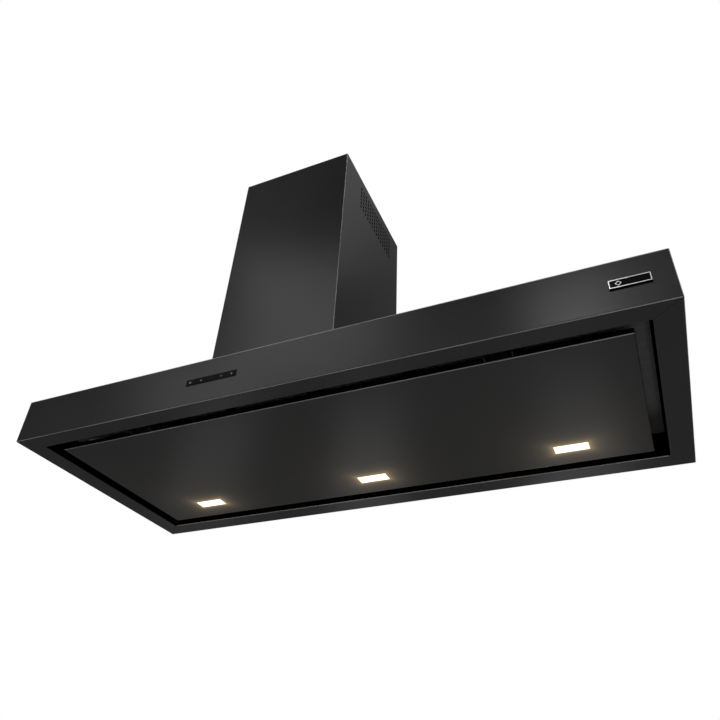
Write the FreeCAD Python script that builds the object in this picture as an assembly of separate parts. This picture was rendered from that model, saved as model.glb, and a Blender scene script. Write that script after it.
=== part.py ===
import FreeCAD, Part

import math
import os

# Island range hood: a wide flat canopy hung from the ceiling on a telescopic frame
# that a two-stage chimney hides.  Millimetres, +Z up, front towards -Y.
# The origin is the centre of the ceiling plate's top face, on the chimney's axis.

V = FreeCAD.Vector
ALONG_X = V(1, 0, 0)
ALONG_Y = V(0, 1, 0)
ALONG_Z = V(0, 0, 1)

# ---------------------------------------------------------------- driving dimensions
canopy_width = 1200.0
canopy_depth = 504.0
canopy_height = 90.0
canopy_shift = 106.0            # canopy centre lies this far to the right of the chimney axis
chimney_width = 270.0
chimney_depth = 322.0
chimney_height = 605.0          # ceiling to canopy top, frame pushed right up
height_travel = 250.0           # how far the frame telescopes down

skin = 1.2                      # canopy sheet
cover_skin = 1.0                # chimney sheet
bend = 2.0                      # outside radius of a folded canopy edge
cover_bend = 1.8                # the same on the chimney
edge_round = 0.4                # broken edges of small trim
sheet_gap = 0.15                # play round a piece let into a sheet
slide_gap = 0.5                 # play between pieces that slide on each other
fit_gap = 0.05                  # radial play of a shaft in its bore
hole_play = 0.2                 # radial play of a screw in its hole

# canopy rim and recess
rim_front = 36.5
rim_rear = 45.0
rim_side = 42.0
lip_height = 50.0               # inner lip that rises from the rim
lip_return = 12.0
top_return = 18.0
box_seat = 10.0                 # canopy top left under the motor box's edge

# suction panel
panel_gap_front = 22.0
panel_gap_rear = 26.0
panel_gap_side = 25.5
panel_lip = 10.0
hinge_from_side = 132.5         # hinges in from the panel's ends
hinge_setback = 6.0             # hinge axis in front of the panel's rear edge
hinge_height = 16.0             # hinge axis above the canopy's underside
hinge_pin_radius = 2.5
hinge_leaf = 3.0
hinge_ear = 2.0
hinge_knuckle = 5.0
hinge_leaf_depth = 10.0
catch_from_side = 194.5         # catches in from the panel's ends
catch_width = 40.0
catch_bottom = 12.0
catch_height = 22.0
striker_ear = 1.6
striker_pin_radius = 2.0
striker_pin_height = 19.0
striker_pin_reach = 11.0        # pin in front of the panel's front edge

# lamps
lamp_from_side = 138.5          # outer lamps in from the panel's ends
lamp_from_rear = 63.0
lamp_bezel_line = 3.0
lamp_bezel_proud = 0.8
lamp_window_width = 62.0
lamp_window_depth = 27.0
lamp_sleeve = 1.2
lamp_sleeve_height = 6.0
lamp_housing_height = 14.0
lamp_housing_lap = 3.0
diffuser_thick = 2.0
diffuser_recess = 0.3

# controls and badge on the front face
control_shift = -156.0          # from the canopy centre
control_height = 46.0           # above the canopy's underside
control_proud = 0.5
key_count = 5
key_width = 18.8
key_height = 9.2
key_between = 1.6               # dark strip left between two keys
key_edge = 2.1                  # strip above and below the keys
key_end = 1.3                   # strip beyond the end keys, past half a gap
key_gap = 0.3
key_proud = 0.4
key_travel = 1.2
key_length = 7.0
bezel_back = 1.4
bezel_flange = 1.8
housing_depth = 16.0
housing_wall = 1.4
board_thick = 1.6
switch_size = 6.0
badge_from_right = 60.0         # badge centre in from the canopy's right end
badge_height = 45.5
badge_width = 56.3
badge_depth = 14.5
badge_line = 2.0
badge_proud = 3.0
badge_frame_thick = 0.4
badge_edge = 0.5                # plate shown round the bright outline

# grease filters
filter_count = 3
filter_between = 25.0
filter_end_room = 38.0          # from the end filters to the inner lip
filter_side_room = 61.25        # from the filters to the front and rear lips
filter_thick = 9.0
filter_border = 12.0
filter_wall = 1.2
filter_core_gap = 0.3
hook_thick = 1.2
hook_width = 16.0
hook_toe = 6.0
hook_from_side = 55.0
hook_gap = 0.3
latch_width = 34.0
latch_depth = 24.0
latch_thick = 2.4
latch_reach = 7.0               # bolt beyond the filter's front edge
latch_bolt_width = 14.0
latch_grip_drop = 5.0
latch_grip_depth = 3.0
keeper_thick = 2.0
keeper_width = 30.0

# telescopic frame
ceiling_thick = 3.0
ceiling_flange = 18.0
ceiling_end_gap = 5.0
duct_hole_room = 20.0           # ceiling hole round the duct
ceiling_bolt_radius = 4.25
ceiling_bolt_x = 85.0
ceiling_bolt_y = 115.0
ceiling_clear = 1.0             # chimney covers stop this far below the ceiling
upright_inset_x = 11.0          # from the upper cover's inner face to the uprights
upright_inset_y = 11.0
upright_leg = 22.0
upright_thick = 2.0
upper_upright_length = 400.0
lower_upright_gap = 30.0        # lower uprights stop this far below the ceiling
upright_bolt_radius = 2.5
upright_bolt_drop = 60.0
slot_margin = 8.0
bolt_head_height = 3.0
frame_thick = 3.0
frame_margin_x = 14.0           # frame base to the lower cover's inner face
frame_margin_y = 6.0
rail_width = 24.0
rail_height = 20.0
rail_thick = 2.0
frame_bolt_radius = 3.0
frame_bolt_places = (-100.0, -45.0, 45.0, 100.0)

# chimney covers
cover_gap = 4.0                 # between the lower cover's inside and the upper cover
cover_return = 12.0
upper_cover_length = 500.0
vent_radius = 3.0
vent_columns = 14
vent_rows = 6
vent_pitch_y = 13.5
vent_pitch_z = 12.0
vent_shift_y = 13.5
vent_drop = 62.0                # ceiling to the middle of the vents
screw_radius = 1.75
screw_head_radius = 3.4
screw_head_height = 1.4
screw_length = 4.0

# blower
box_side_room = 6.0             # from the motor box to the lower uprights
box_end_room = 22.0             # from the motor box to the lower cover
box_height = 250.0
box_return = 8.0
scroll_side_room = 36.0         # air space between the scroll and the motor box
scroll_wall = 2.0
scroll_start_radius = 66.0
scroll_end_radius = 100.0
scroll_start_angle = 60.0
scroll_shift_y = -50.0
scroll_drop = 125.0             # motor axis below the box's top
scroll_flange = 8.0
scroll_flange_thick = 3.0
inlet_radius = 52.0
wheel_radius = 60.0
wheel_inner_radius = 48.0
wheel_side_room = 12.0          # scroll side to wheel end
wheel_ring = 2.0
blade_count = 30
blade_thick = 1.2
blade_lean = 35.0
hub_radius = 12.0
hub_half_length = 10.0
shaft_radius = 4.0
shaft_right = 14.0
shaft_in_motor = 20.0
motor_radius = 34.0
motor_overhang = 8.0            # motor beyond the scroll's left side
motor_right = 13.0
bracket_thick = 3.0
bracket_ring = 6.0
bracket_arm_width = 14.0
bracket_arm_radius = 64.0
bush_radius = 6.5
bush_thick = 3.0
bush_circle = 59.0

# duct collar and its two non-return flaps
collar_radius = 75.0
collar_wall = 2.0
collar_height = 62.0
collar_flange_line = 11.0
collar_flange_thick = 2.0
flap_axis_height = 25.0
flap_thick = 1.0
flap_gap = 1.2
flap_pin_radius = 2.0
knuckle_radius = 3.6
knuckle_length = 18.0
knuckle_gap = 0.5

# electrics
unit_width = 180.0
unit_depth = 60.0
unit_headroom = 11.6            # unit to canopy top
unit_from_right = 268.0
gland_radius = 9.0
gland_bore = 4.5
gland_height = 20.0
gland_nut_radius = 12.0
gland_from_side = 28.0
gland_from_end = 24.0

# ---------------------------------------------------------------- places worked out once
top_z = -chimney_height
rim_z = top_z - canopy_height
left_x = canopy_shift - canopy_width / 2
right_x = canopy_shift + canopy_width / 2
front_y = -canopy_depth / 2
rear_y = canopy_depth / 2

open_left = left_x + rim_side
open_right = right_x - rim_side
open_front = front_y + rim_front
open_rear = rear_y - rim_rear
deck_z = rim_z + lip_height
well_y = (open_front + open_rear) / 2
well_width = open_right - open_left

panel_left = open_left + panel_gap_side
panel_right = open_right - panel_gap_side
panel_front = open_front + panel_gap_front
panel_rear = open_rear - panel_gap_rear
hinge_y = panel_rear - hinge_setback
hinge_z = rim_z + hinge_height
lamp_y = panel_rear - lamp_from_rear
lamp_bezel_width = lamp_window_width + 2 * lamp_bezel_line
lamp_bezel_depth = lamp_window_depth + 2 * lamp_bezel_line

lower_in_x = chimney_width / 2 - cover_skin
lower_in_y = chimney_depth / 2 - cover_skin
upper_out_x = lower_in_x - cover_gap
upper_out_y = lower_in_y - cover_gap
upper_in_x = upper_out_x - cover_skin
upper_in_y = upper_out_y - cover_skin

upper_post_x = upper_in_x - upright_inset_x
upper_post_y = upper_in_y - upright_inset_y
lower_post_x = upper_post_x - upright_thick - slide_gap
lower_post_y = upper_post_y - upright_thick - slide_gap
lower_leg = upright_leg - upright_thick - slide_gap
upright_bolt_y = upper_post_y - upright_leg / 2 - 1

box_width = 2 * (lower_post_x - lower_leg - box_side_room)
box_depth = 2 * (lower_in_y - box_end_room)
box_top = top_z + box_height
gland_place = (box_width / 2 - gland_from_side, box_depth / 2 - gland_from_end)
scroll_half_width = box_width / 2 - scroll_side_room
wheel_half_width = scroll_half_width - wheel_side_room
motor_left = scroll_half_width + motor_overhang
motor_z = box_top - scroll_drop
flap_z = box_top + flap_axis_height
collar_flange = collar_radius + collar_flange_line
duct_hole_radius = collar_radius + duct_hole_room
filter_width = (well_width - 2 * filter_end_room - (filter_count - 1) * filter_between) / filter_count
filter_depth = open_rear - open_front - 2 * filter_side_room
filter_pitch = filter_width + filter_between
hook_spread = filter_width / 2 - hook_from_side
filter_top = deck_z
filter_bottom = deck_z - filter_thick
filter_front = well_y - filter_depth / 2
filter_rear = well_y + filter_depth / 2
filter_places = [canopy_shift + (i - (filter_count - 1) / 2) * filter_pitch for i in range(filter_count)]
lamp_places = [panel_left + lamp_from_side, canopy_shift, panel_right - lamp_from_side]
hinge_places = [panel_left + hinge_from_side, panel_right - hinge_from_side]
catch_places = [panel_left + catch_from_side, panel_right - catch_from_side]
key_pitch = key_width + key_between
control_width = key_count * key_pitch + 2 * key_end
control_depth = key_height + 2 * key_edge
control_x = canopy_shift + control_shift
control_z = rim_z + control_height
badge_x = right_x - badge_from_right
badge_z = rim_z + badge_height
unit_height = top_z - deck_z - 2 * skin - unit_headroom
key_places = [control_x + (i - (key_count - 1) / 2) * key_pitch for i in range(key_count)]


# ---------------------------------------------------------------- small tools
def box(x0, x1, y0, y1, z0, z1):
    """A box between two corners."""
    return Part.makeBox(x1 - x0, y1 - y0, z1 - z0, V(x0, y0, z0))


def block(x, y, z0, z1, width, depth):
    """A box centred on x, y."""
    return box(x - width / 2, x + width / 2, y - depth / 2, y + depth / 2, z0, z1)


def rod(start, direction, radius, length):
    return Part.makeCylinder(radius, length, start, direction)


def tube(start, direction, radius, bore, length):
    return rod(start, direction, radius, length).cut(rod(start, direction, bore, length))


def join(shapes):
    """One solid from touching pieces."""
    whole = shapes[0].fuse(shapes[1:]) if len(shapes) > 1 else shapes[0]
    return whole.removeSplitter()


def upright_edge(edge):
    return abs(edge.tangentAt(edge.FirstParameter).z) > 0.9


def level_edge(z):
    """A test for edges that lie at one height."""
    def test(edge):
        return all(abs(v.Z - z) < 1e-6 for v in edge.Vertexes)
    return test


def front_edge(y):
    """A test for edges that lie at one depth."""
    def test(edge):
        return all(abs(v.Y - y) < 1e-6 for v in edge.Vertexes)
    return test


def rounded(solid, radius, *tests):
    """The solid with every edge that passes one of the tests rounded."""
    edges = [e for e in solid.Edges if any(test(e) for test in tests)]
    return solid.makeFillet(radius, edges)


def corners(x, y):
    """The four sign pairs of a rectangle, scaled."""
    return [(sx * x, sy * y, sx, sy) for sx in (-1, 1) for sy in (-1, 1)]


def screw(seat, into, shank_radius, shank, head_radius, head):
    """A pan-head screw: the head lies on the seat, the shank goes in."""
    back = V(into).multiply(-head)
    return join([rod(seat, into, shank_radius, shank), rod(seat.add(back), into, head_radius, head)])


def holes(shape, places, direction, radius, length):
    """Cuts one round hole at each place, centred along its length."""
    start = V(direction).multiply(-length / 2)
    drills = [rod(V(*p).add(start), direction, radius, length) for p in places]
    return shape.cut(drills)


# ---------------------------------------------------------------- fastener places
upper_side_screws = [(sx * upper_out_x, y, -ceiling_flange / 2) for sx in (-1, 1) for y in (-80.0, 80.0)]
upper_rear_screws = [(sx * (upper_in_x - cover_return / 2), upper_out_y, z)
                     for sx in (-1, 1) for z in (-50.0, -upper_cover_length + 30.0)]
lower_rear_screws = [(sx * (lower_in_x - cover_return / 2), chimney_depth / 2, z)
                     for sx in (-1, 1) for z in (-110.0, top_z / 2, top_z + 40.0)]
lower_base_screws = [(sx * (lower_in_x - cover_return / 2), y, top_z + cover_skin)
                     for sx in (-1, 1) for y in (-90.0, 90.0)]
frame_bolts = [(sx * (lower_post_x - rail_width / 3), y, top_z + frame_thick)
               for sx in (-1, 1) for y in frame_bolt_places]
deck_screw_x = [open_left + 150.0 + i * (open_right - open_left - 300.0) / 3 for i in range(4)]
deck_screws = [(x, y, deck_z + skin) for x in deck_screw_x
               for y in (open_front - lip_return * 0.6, open_rear + lip_return * 0.6)]


# ---------------------------------------------------------------- ceiling frame
def ceiling_plate():
    """The plate bolted to the ceiling: two down-turned flanges hold the upper cover."""
    half_y = upper_in_y - ceiling_end_gap
    plate = box(-upper_in_x, upper_in_x, -half_y, half_y, -ceiling_thick, 0)
    flanges = [box(min(sx * upper_in_x, sx * (upper_in_x - ceiling_thick)),
                   max(sx * upper_in_x, sx * (upper_in_x - ceiling_thick)),
                   -upper_post_y + upright_leg, upper_post_y - upright_leg, -ceiling_flange, 0)
               for sx in (-1, 1)]
    solid = join([plate] + flanges)
    solid = holes(solid, [(0, 0, 0)], ALONG_Z, duct_hole_radius, 4 * ceiling_thick)
    bolts = [(x, y, 0) for x, y, sx, sy in corners(ceiling_bolt_x, ceiling_bolt_y)]
    solid = holes(solid, bolts, ALONG_Z, ceiling_bolt_radius, 4 * ceiling_thick)
    return holes(solid, upper_side_screws, ALONG_X, screw_radius + hole_play, 4 * ceiling_thick)


def angle(x, y, sx, sy, leg, thick, z0, z1):
    """An L-section with its outer corner at x, y and its legs running inwards."""
    end_x = x - sx * leg
    end_y = y - sy * leg
    outer = box(min(x, end_x), max(x, end_x), min(y, end_y), max(y, end_y), z0, z1)
    in_x = x - sx * thick
    in_y = y - sy * thick
    far_x = x - sx * 2 * leg
    far_y = y - sy * 2 * leg
    inner = box(min(in_x, far_x), max(in_x, far_x), min(in_y, far_y), max(in_y, far_y), z0, z1)
    return outer.cut(inner)


def upper_uprights():
    posts = []
    slot_top = -upright_bolt_drop + slot_margin
    slot_bottom = -upright_bolt_drop - height_travel - slot_margin
    half = upright_bolt_radius + slide_gap
    for x, y, sx, sy in corners(upper_post_x, upper_post_y):
        post = angle(x, y, sx, sy, upright_leg, upright_thick,
                     -ceiling_thick - upper_upright_length, -ceiling_thick)
        slot = box(x - 2 * upright_thick, x + 2 * upright_thick,
                   sy * upright_bolt_y - half, sy * upright_bolt_y + half, slot_bottom, slot_top)
        posts.append(post.cut(slot))
    return posts


def chimney_cover(half_x, half_y, z0, z1):
    """A U-shaped cover: front and two sides, with rear returns behind which nothing shows."""
    outer = box(-half_x, half_x, -half_y, half_y, z0, z1)
    outer = rounded(outer, cover_bend, lambda e: upright_edge(e) and e.Vertexes[0].Y < 0)
    outer = rounded(outer, 0.9 * cover_skin, lambda e: upright_edge(e) and e.Vertexes[0].Y > 0.9 * half_y)
    inner = box(-half_x + cover_skin, half_x - cover_skin, -half_y + cover_skin,
                half_y - 2 * cover_skin, z0, z1)
    inner = rounded(inner, cover_bend - cover_skin, lambda e: upright_edge(e) and e.Vertexes[0].Y < 0)
    gap_x = half_x - cover_skin - cover_return
    doorway = box(-gap_x, gap_x, 0, half_y, z0, z1)
    recess = box(-half_x + cover_skin, half_x - cover_skin, half_y - cover_skin, half_y, z0, z1)
    return outer.cut([inner, doorway, recess])


def rear_plate(half_x, half_y, z0, z1, screws):
    plate = box(-half_x + cover_skin, half_x - cover_skin, half_y - cover_skin, half_y, z0, z1)
    return holes(plate, screws, ALONG_Y, screw_radius + hole_play, 4 * screw_length)


def vented(cover, half_x):
    """Rows of round vents through both side walls near the ceiling."""
    places = []
    for row in range(vent_rows):
        for column in range(vent_columns):
            y = vent_shift_y + (column - (vent_columns - 1) / 2) * vent_pitch_y
            z = -vent_drop + (row - (vent_rows - 1) / 2) * vent_pitch_z
            places.append((0, y, z))
    return holes(cover, places, ALONG_X, vent_radius, 2 * half_x + 10)


def upper_chimney_cover():
    cover = chimney_cover(upper_out_x, upper_out_y, -upper_cover_length, -ceiling_clear)
    cover = vented(cover, upper_out_x)
    cover = holes(cover, upper_side_screws, ALONG_X, screw_radius + hole_play, 4 * cover_skin)
    return holes(cover, upper_rear_screws, ALONG_Y, screw_radius + hole_play, 4 * screw_length)


def upper_chimney_rear():
    return rear_plate(upper_out_x, upper_out_y, -upper_cover_length, -ceiling_clear, upper_rear_screws)


def upper_chimney_screws():
    side = [screw(V(*p), V(-1 if p[0] > 0 else 1, 0, 0), screw_radius, screw_length,
                  screw_head_radius, screw_head_height) for p in upper_side_screws]
    rear = [screw(V(*p), V(0, -1, 0), screw_radius, screw_length,
                  screw_head_radius, screw_head_height) for p in upper_rear_screws]
    return side + rear


# ---------------------------------------------------------------- hood frame and lower cover
def lower_uprights():
    posts = []
    for x, y, sx, sy in corners(lower_post_x, lower_post_y):
        post = angle(x, y, sx, sy, lower_leg, upright_thick, top_z + frame_thick, -lower_upright_gap)
        place = (x, sy * upright_bolt_y, -upright_bolt_drop)
        posts.append(holes(post, [place], ALONG_X, upright_bolt_radius + hole_play, 4 * upright_thick))
    return posts


def upright_bolts():
    """Four bolts that clamp the nested uprights at the chosen height."""
    bolts = []
    for x, y, sx, sy in corners(upper_post_x, upright_bolt_y):
        seat = x + sx * slide_gap / 2
        nut = lower_post_x - upright_thick
        shank = abs(seat) - nut + 2 * bolt_head_height
        start = V(seat, y, -upright_bolt_drop)
        inward = V(-sx, 0, 0)
        body = screw(start, inward, upright_bolt_radius, shank, 2 * upright_bolt_radius, bolt_head_height)
        nut_start = V(sx * nut, y, -upright_bolt_drop)
        bolts.append(join([body, rod(nut_start, inward, 2 * upright_bolt_radius, bolt_head_height)]))
    return bolts


def frame_base():
    half_x = lower_in_x - frame_margin_x
    half_y = lower_in_y - frame_margin_y
    plate = box(-half_x, half_x, -half_y, half_y, top_z, top_z + frame_thick)
    window = block(0, 0, top_z, top_z + frame_thick, box_width + 2 * slide_gap, box_depth + 2 * slide_gap)
    plate = plate.cut(window)
    return holes(plate, frame_bolts, ALONG_Z, frame_bolt_radius + hole_play, 8 * frame_thick)


def frame_bolt_set():
    bolts = []
    grip = frame_thick + skin + rail_thick
    for x, y, z in frame_bolts:
        shank = grip + 3 * bolt_head_height
        body = screw(V(x, y, z), V(0, 0, -1), frame_bolt_radius, shank, 1.8 * frame_bolt_radius,
                     bolt_head_height)
        nut = rod(V(x, y, z - grip), V(0, 0, -1), 1.8 * frame_bolt_radius, 1.5 * bolt_head_height)
        bolts.append(join([body, nut]))
    return bolts


def load_rails():
    """Two channels under the canopy top that carry it from the frame base."""
    rails = []
    top = top_z - skin
    ends = top_return + 2 * skin
    for sx in (-1, 1):
        x = sx * (lower_post_x - rail_width / 3)
        outer = box(x - rail_width / 2, x + rail_width / 2, front_y + ends, rear_y - ends,
                    top - rail_height, top)
        inner = box(x - rail_width / 2 + rail_thick, x + rail_width / 2 - rail_thick,
                    front_y + ends, rear_y - ends, top - rail_height, top - rail_thick)
        rails.append(holes(outer.cut(inner), frame_bolts, ALONG_Z, frame_bolt_radius + hole_play,
                           8 * frame_thick))
    return rails


def lower_chimney_cover():
    half_x = chimney_width / 2
    half_y = chimney_depth / 2
    cover = chimney_cover(half_x, half_y, top_z, -ceiling_clear)
    feet = []
    for sx in (-1, 1):
        near = sx * (lower_in_x - cover_return)
        far = sx * lower_in_x
        feet.append(box(min(near, far), max(near, far), -lower_in_y, lower_in_y - cover_skin,
                        top_z, top_z + cover_skin))
    cover = vented(join([cover] + feet), half_x)
    cover = holes(cover, lower_rear_screws, ALONG_Y, screw_radius + hole_play, 4 * screw_length)
    return holes(cover, lower_base_screws, ALONG_Z, screw_radius + hole_play, 4 * screw_length)


def lower_chimney_rear():
    return rear_plate(chimney_width / 2, chimney_depth / 2, top_z, -ceiling_clear, lower_rear_screws)


def lower_chimney_screws():
    rear = [screw(V(*p), V(0, -1, 0), screw_radius, 2 * cover_skin + 0.5,
                  screw_head_radius, screw_head_height) for p in lower_rear_screws]
    base = [screw(V(*p), V(0, 0, -1), screw_radius, screw_length,
                  screw_head_radius, screw_head_height) for p in lower_base_screws]
    return rear + base


# ---------------------------------------------------------------- canopy
def canopy_ring():
    """The whole folded edge of the canopy: outer wall, rim, inner lip and their returns."""
    outer = box(left_x, right_x, front_y, rear_y, rim_z, top_z)
    outer = rounded(outer, bend, upright_edge, level_edge(rim_z))
    hollow = box(left_x + skin, right_x - skin, front_y + skin, rear_y - skin, rim_z + skin, top_z + bend)
    hollow = rounded(hollow, bend - skin, upright_edge, level_edge(rim_z + skin))
    well = box(open_left, open_right, open_front, open_rear, rim_z, deck_z)
    well = rounded(well, bend, upright_edge)
    shell = outer.cut([hollow, well])
    lip_out = box(open_left - skin, open_right + skin, open_front - skin, open_rear + skin, rim_z, deck_z)
    lip = rounded(lip_out, bend + skin, upright_edge).cut(well)
    ledge_out = box(open_left - lip_return, open_right + lip_return, open_front - lip_return,
                    open_rear + lip_return, deck_z - skin, deck_z)
    ledge = ledge_out.cut(well)
    seat_out = box(left_x + skin, right_x - skin, front_y + skin, rear_y - skin,
                   top_z - 2 * skin, top_z - skin)
    seat_in = box(left_x + top_return, right_x - top_return, front_y + top_return, rear_y - top_return,
                  top_z - 2 * skin, top_z - skin)
    ring = join([shell, lip, ledge, seat_out.cut(seat_in)])

    def mouth_edge(edge):
        middle = edge.CenterOfMass
        inside_x = left_x + rim_side / 2 < middle.x < right_x - rim_side / 2
        inside_y = front_y + rim_front / 2 < middle.y < rear_y - rim_rear / 2
        return level_edge(rim_z)(edge) and inside_x and inside_y
    return rounded(ring, 0.8 * skin, mouth_edge)


def wedge(points):
    """A tall prism on a ground outline, used to mitre the canopy ring at its corners."""
    ground = [V(x, y, rim_z - 10) for x, y in points]
    face = Part.Face(Part.makePolygon(ground + ground[:1]))
    return face.extrude(V(0, 0, canopy_height + 20))


def mitre(side, end):
    """Two points on the corner joint: one outside the canopy, one inside its opening.

    The joint runs through the centres of the outer corner's bend and the opening's."""
    x0 = (left_x if side < 0 else right_x) - side * bend
    y0 = (front_y if end < 0 else rear_y) - end * bend
    x1 = (open_left if side < 0 else open_right) - side * bend
    y1 = (open_front if end < 0 else open_rear) - end * bend
    return [(x1 + reach * (x0 - x1), y1 + reach * (y0 - y1)) for reach in (1.2, -0.3)]


def canopy_sides():
    ring = canopy_ring()
    ring = holes(ring, deck_screws, ALONG_Z, screw_radius + hole_play, 4 * screw_length)
    out_fl, in_fl = mitre(-1, -1)
    out_fr, in_fr = mitre(1, -1)
    out_bl, in_bl = mitre(-1, 1)
    out_br, in_br = mitre(1, 1)
    front = ring.common(wedge([out_fl, out_fr, in_fr, in_fl]))
    rear = ring.common(wedge([out_bl, in_bl, in_br, out_br]))
    left = ring.common(wedge([out_fl, in_fl, in_bl, out_bl]))
    right = ring.common(wedge([out_fr, out_br, in_br, in_fr]))
    slot = box(control_x - control_width / 2 - sheet_gap, control_x + control_width / 2 + sheet_gap,
               front_y, front_y + skin, control_z - control_depth / 2 - sheet_gap,
               control_z + control_depth / 2 + sheet_gap)
    return front.cut(slot), rear, left, right


def canopy_top():
    plate = box(left_x + skin, right_x - skin, front_y + skin, rear_y - skin, top_z - skin, top_z)
    plate = rounded(plate, bend - skin, upright_edge)
    window = block(0, 0, top_z - skin, top_z, box_width - 2 * box_seat, box_depth - 2 * box_seat)
    plate = holes(plate.cut(window), frame_bolts, ALONG_Z, frame_bolt_radius + hole_play, 8 * frame_thick)
    return holes(plate, lower_base_screws, ALONG_Z, screw_radius + hole_play, 4 * screw_length)


def filter_deck():
    """The plate over the rim opening, with a window above each grease filter."""
    plate = box(open_left - lip_return, open_right + lip_return, open_front - lip_return,
                open_rear + lip_return, deck_z, deck_z + skin)
    windows = [block(x, well_y, deck_z, deck_z + skin, filter_width - 2 * filter_border,
                     filter_depth - 2 * filter_border) for x in filter_places]
    return holes(plate.cut(windows), deck_screws, ALONG_Z, screw_radius + hole_play, 4 * screw_length)


def deck_screw_set():
    return [screw(V(*p), V(0, 0, -1), screw_radius, screw_length, screw_head_radius, screw_head_height)
            for p in deck_screws]


# ---------------------------------------------------------------- grease filters
def grease_filter(x):
    """A channel frame with a mesh pack held in its groove."""
    outer = block(x, well_y, filter_bottom, filter_top, filter_width, filter_depth)
    window = block(x, well_y, filter_bottom, filter_top, filter_width - 2 * filter_border,
                   filter_depth - 2 * filter_border)
    groove = block(x, well_y, filter_bottom + filter_wall, filter_top - filter_wall,
                   filter_width - 2 * filter_wall, filter_depth - 2 * filter_wall)
    play = filter_wall + filter_core_gap
    core = block(x, well_y, filter_bottom + play, filter_top - play,
                 filter_width - 2 * play, filter_depth - 2 * play)
    return [outer.cut([window, groove]), core]


def filter_latch(x):
    """A sprung bolt under the filter's front border, pulled back by its grip."""
    z1 = filter_bottom - hook_gap
    z0 = z1 - latch_thick
    plate = box(x - latch_width / 2, x + latch_width / 2, filter_front, filter_front + latch_depth, z0, z1)
    bolt = box(x - latch_bolt_width / 2, x + latch_bolt_width / 2, filter_front - latch_reach,
               filter_front, z0, z1)
    grip_y = filter_front + latch_depth - latch_grip_depth
    grip = box(x - latch_width / 2, x + latch_width / 2, grip_y, filter_front + latch_depth,
               z0 - latch_grip_drop, z0)
    return join([plate, bolt, grip])


def latch_keepers():
    """A plate hung from the deck in front of each filter, with a slot for the latch bolt."""
    keepers = []
    z1 = filter_bottom - hook_gap
    y0 = filter_front - latch_reach + keeper_thick
    for x in filter_places:
        plate = box(x - keeper_width / 2, x + keeper_width / 2, y0 - keeper_thick / 2, y0 + keeper_thick / 2,
                    z1 - latch_thick - 3, deck_z)
        foot = box(x - keeper_width / 2, x + keeper_width / 2, y0 - 4 * keeper_thick, y0,
                   deck_z - keeper_thick, deck_z)
        slot = box(x - latch_bolt_width / 2 - slide_gap, x + latch_bolt_width / 2 + slide_gap,
                   y0 - keeper_thick, y0 + keeper_thick, z1 - latch_thick - slide_gap, z1 + slide_gap)
        keepers.append(join([plate, foot]).cut(slot))
    return keepers


def filter_hooks():
    """Two hooks behind each filter that carry its rear edge."""
    hooks = []
    z0 = filter_bottom - hook_gap - hook_thick
    y0 = filter_rear + hook_gap
    for x in filter_places:
        for side in (-1, 1):
            hx = x + side * hook_spread
            stem = box(hx - hook_width / 2, hx + hook_width / 2, y0, y0 + hook_thick, z0, deck_z)
            toe = box(hx - hook_width / 2, hx + hook_width / 2, y0 - hook_toe, y0 + hook_thick,
                      z0, z0 + hook_thick)
            foot = box(hx - hook_width / 2, hx + hook_width / 2, y0, y0 + 2 * hook_toe,
                       deck_z - hook_thick, deck_z)
            hooks.append(join([stem, toe, foot]))
    return hooks


# ---------------------------------------------------------------- blower
def motor_box():
    """A sheet box on the canopy top, open below, that holds the blower."""
    outer = block(0, 0, top_z, box_top, box_width, box_depth)
    inner = block(0, 0, top_z + skin, box_top - skin, box_width - 2 * skin, box_depth - 2 * skin)
    mouth = block(0, 0, top_z, top_z + skin, box_width - 2 * box_return - 2 * skin,
                  box_depth - 2 * box_return - 2 * skin)
    shell = outer.cut([inner, mouth])
    shell = holes(shell, [(0, 0, box_top)], ALONG_Z, collar_radius - collar_wall, 4 * skin)
    gx, gy = gland_place
    return holes(shell, [(gx, gy, box_top)], ALONG_Z, gland_radius + hole_play, 4 * skin)


def scroll_outline(inset):
    """The snail: a spiral that opens upwards into a straight outlet."""
    turn = 360.0 - scroll_start_angle
    points = []
    steps = 10
    for i in range(steps + 1):
        degrees = scroll_start_angle + turn * i / steps
        radius = scroll_start_radius + (scroll_end_radius - scroll_start_radius) * i / steps - inset
        a = math.radians(degrees)
        points.append(V(0, scroll_shift_y + radius * math.cos(a), motor_z + radius * math.sin(a)))
    curve = Part.BSplineCurve()
    curve.interpolate(points)
    mouth_z = box_top - skin
    outer_top = V(0, points[-1].y, mouth_z)
    tongue_y = points[0].y + 2 * inset
    inner_top = V(0, tongue_y, mouth_z)
    edges = [curve.toShape(), Part.makeLine(points[-1], outer_top), Part.makeLine(outer_top, inner_top)]
    if inset:
        elbow = V(0, tongue_y, points[0].z)
        edges += [Part.makeLine(inner_top, elbow), Part.makeLine(elbow, points[0])]
    else:
        edges.append(Part.makeLine(inner_top, points[0]))
    return Part.Face(Part.Wire(edges))


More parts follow.
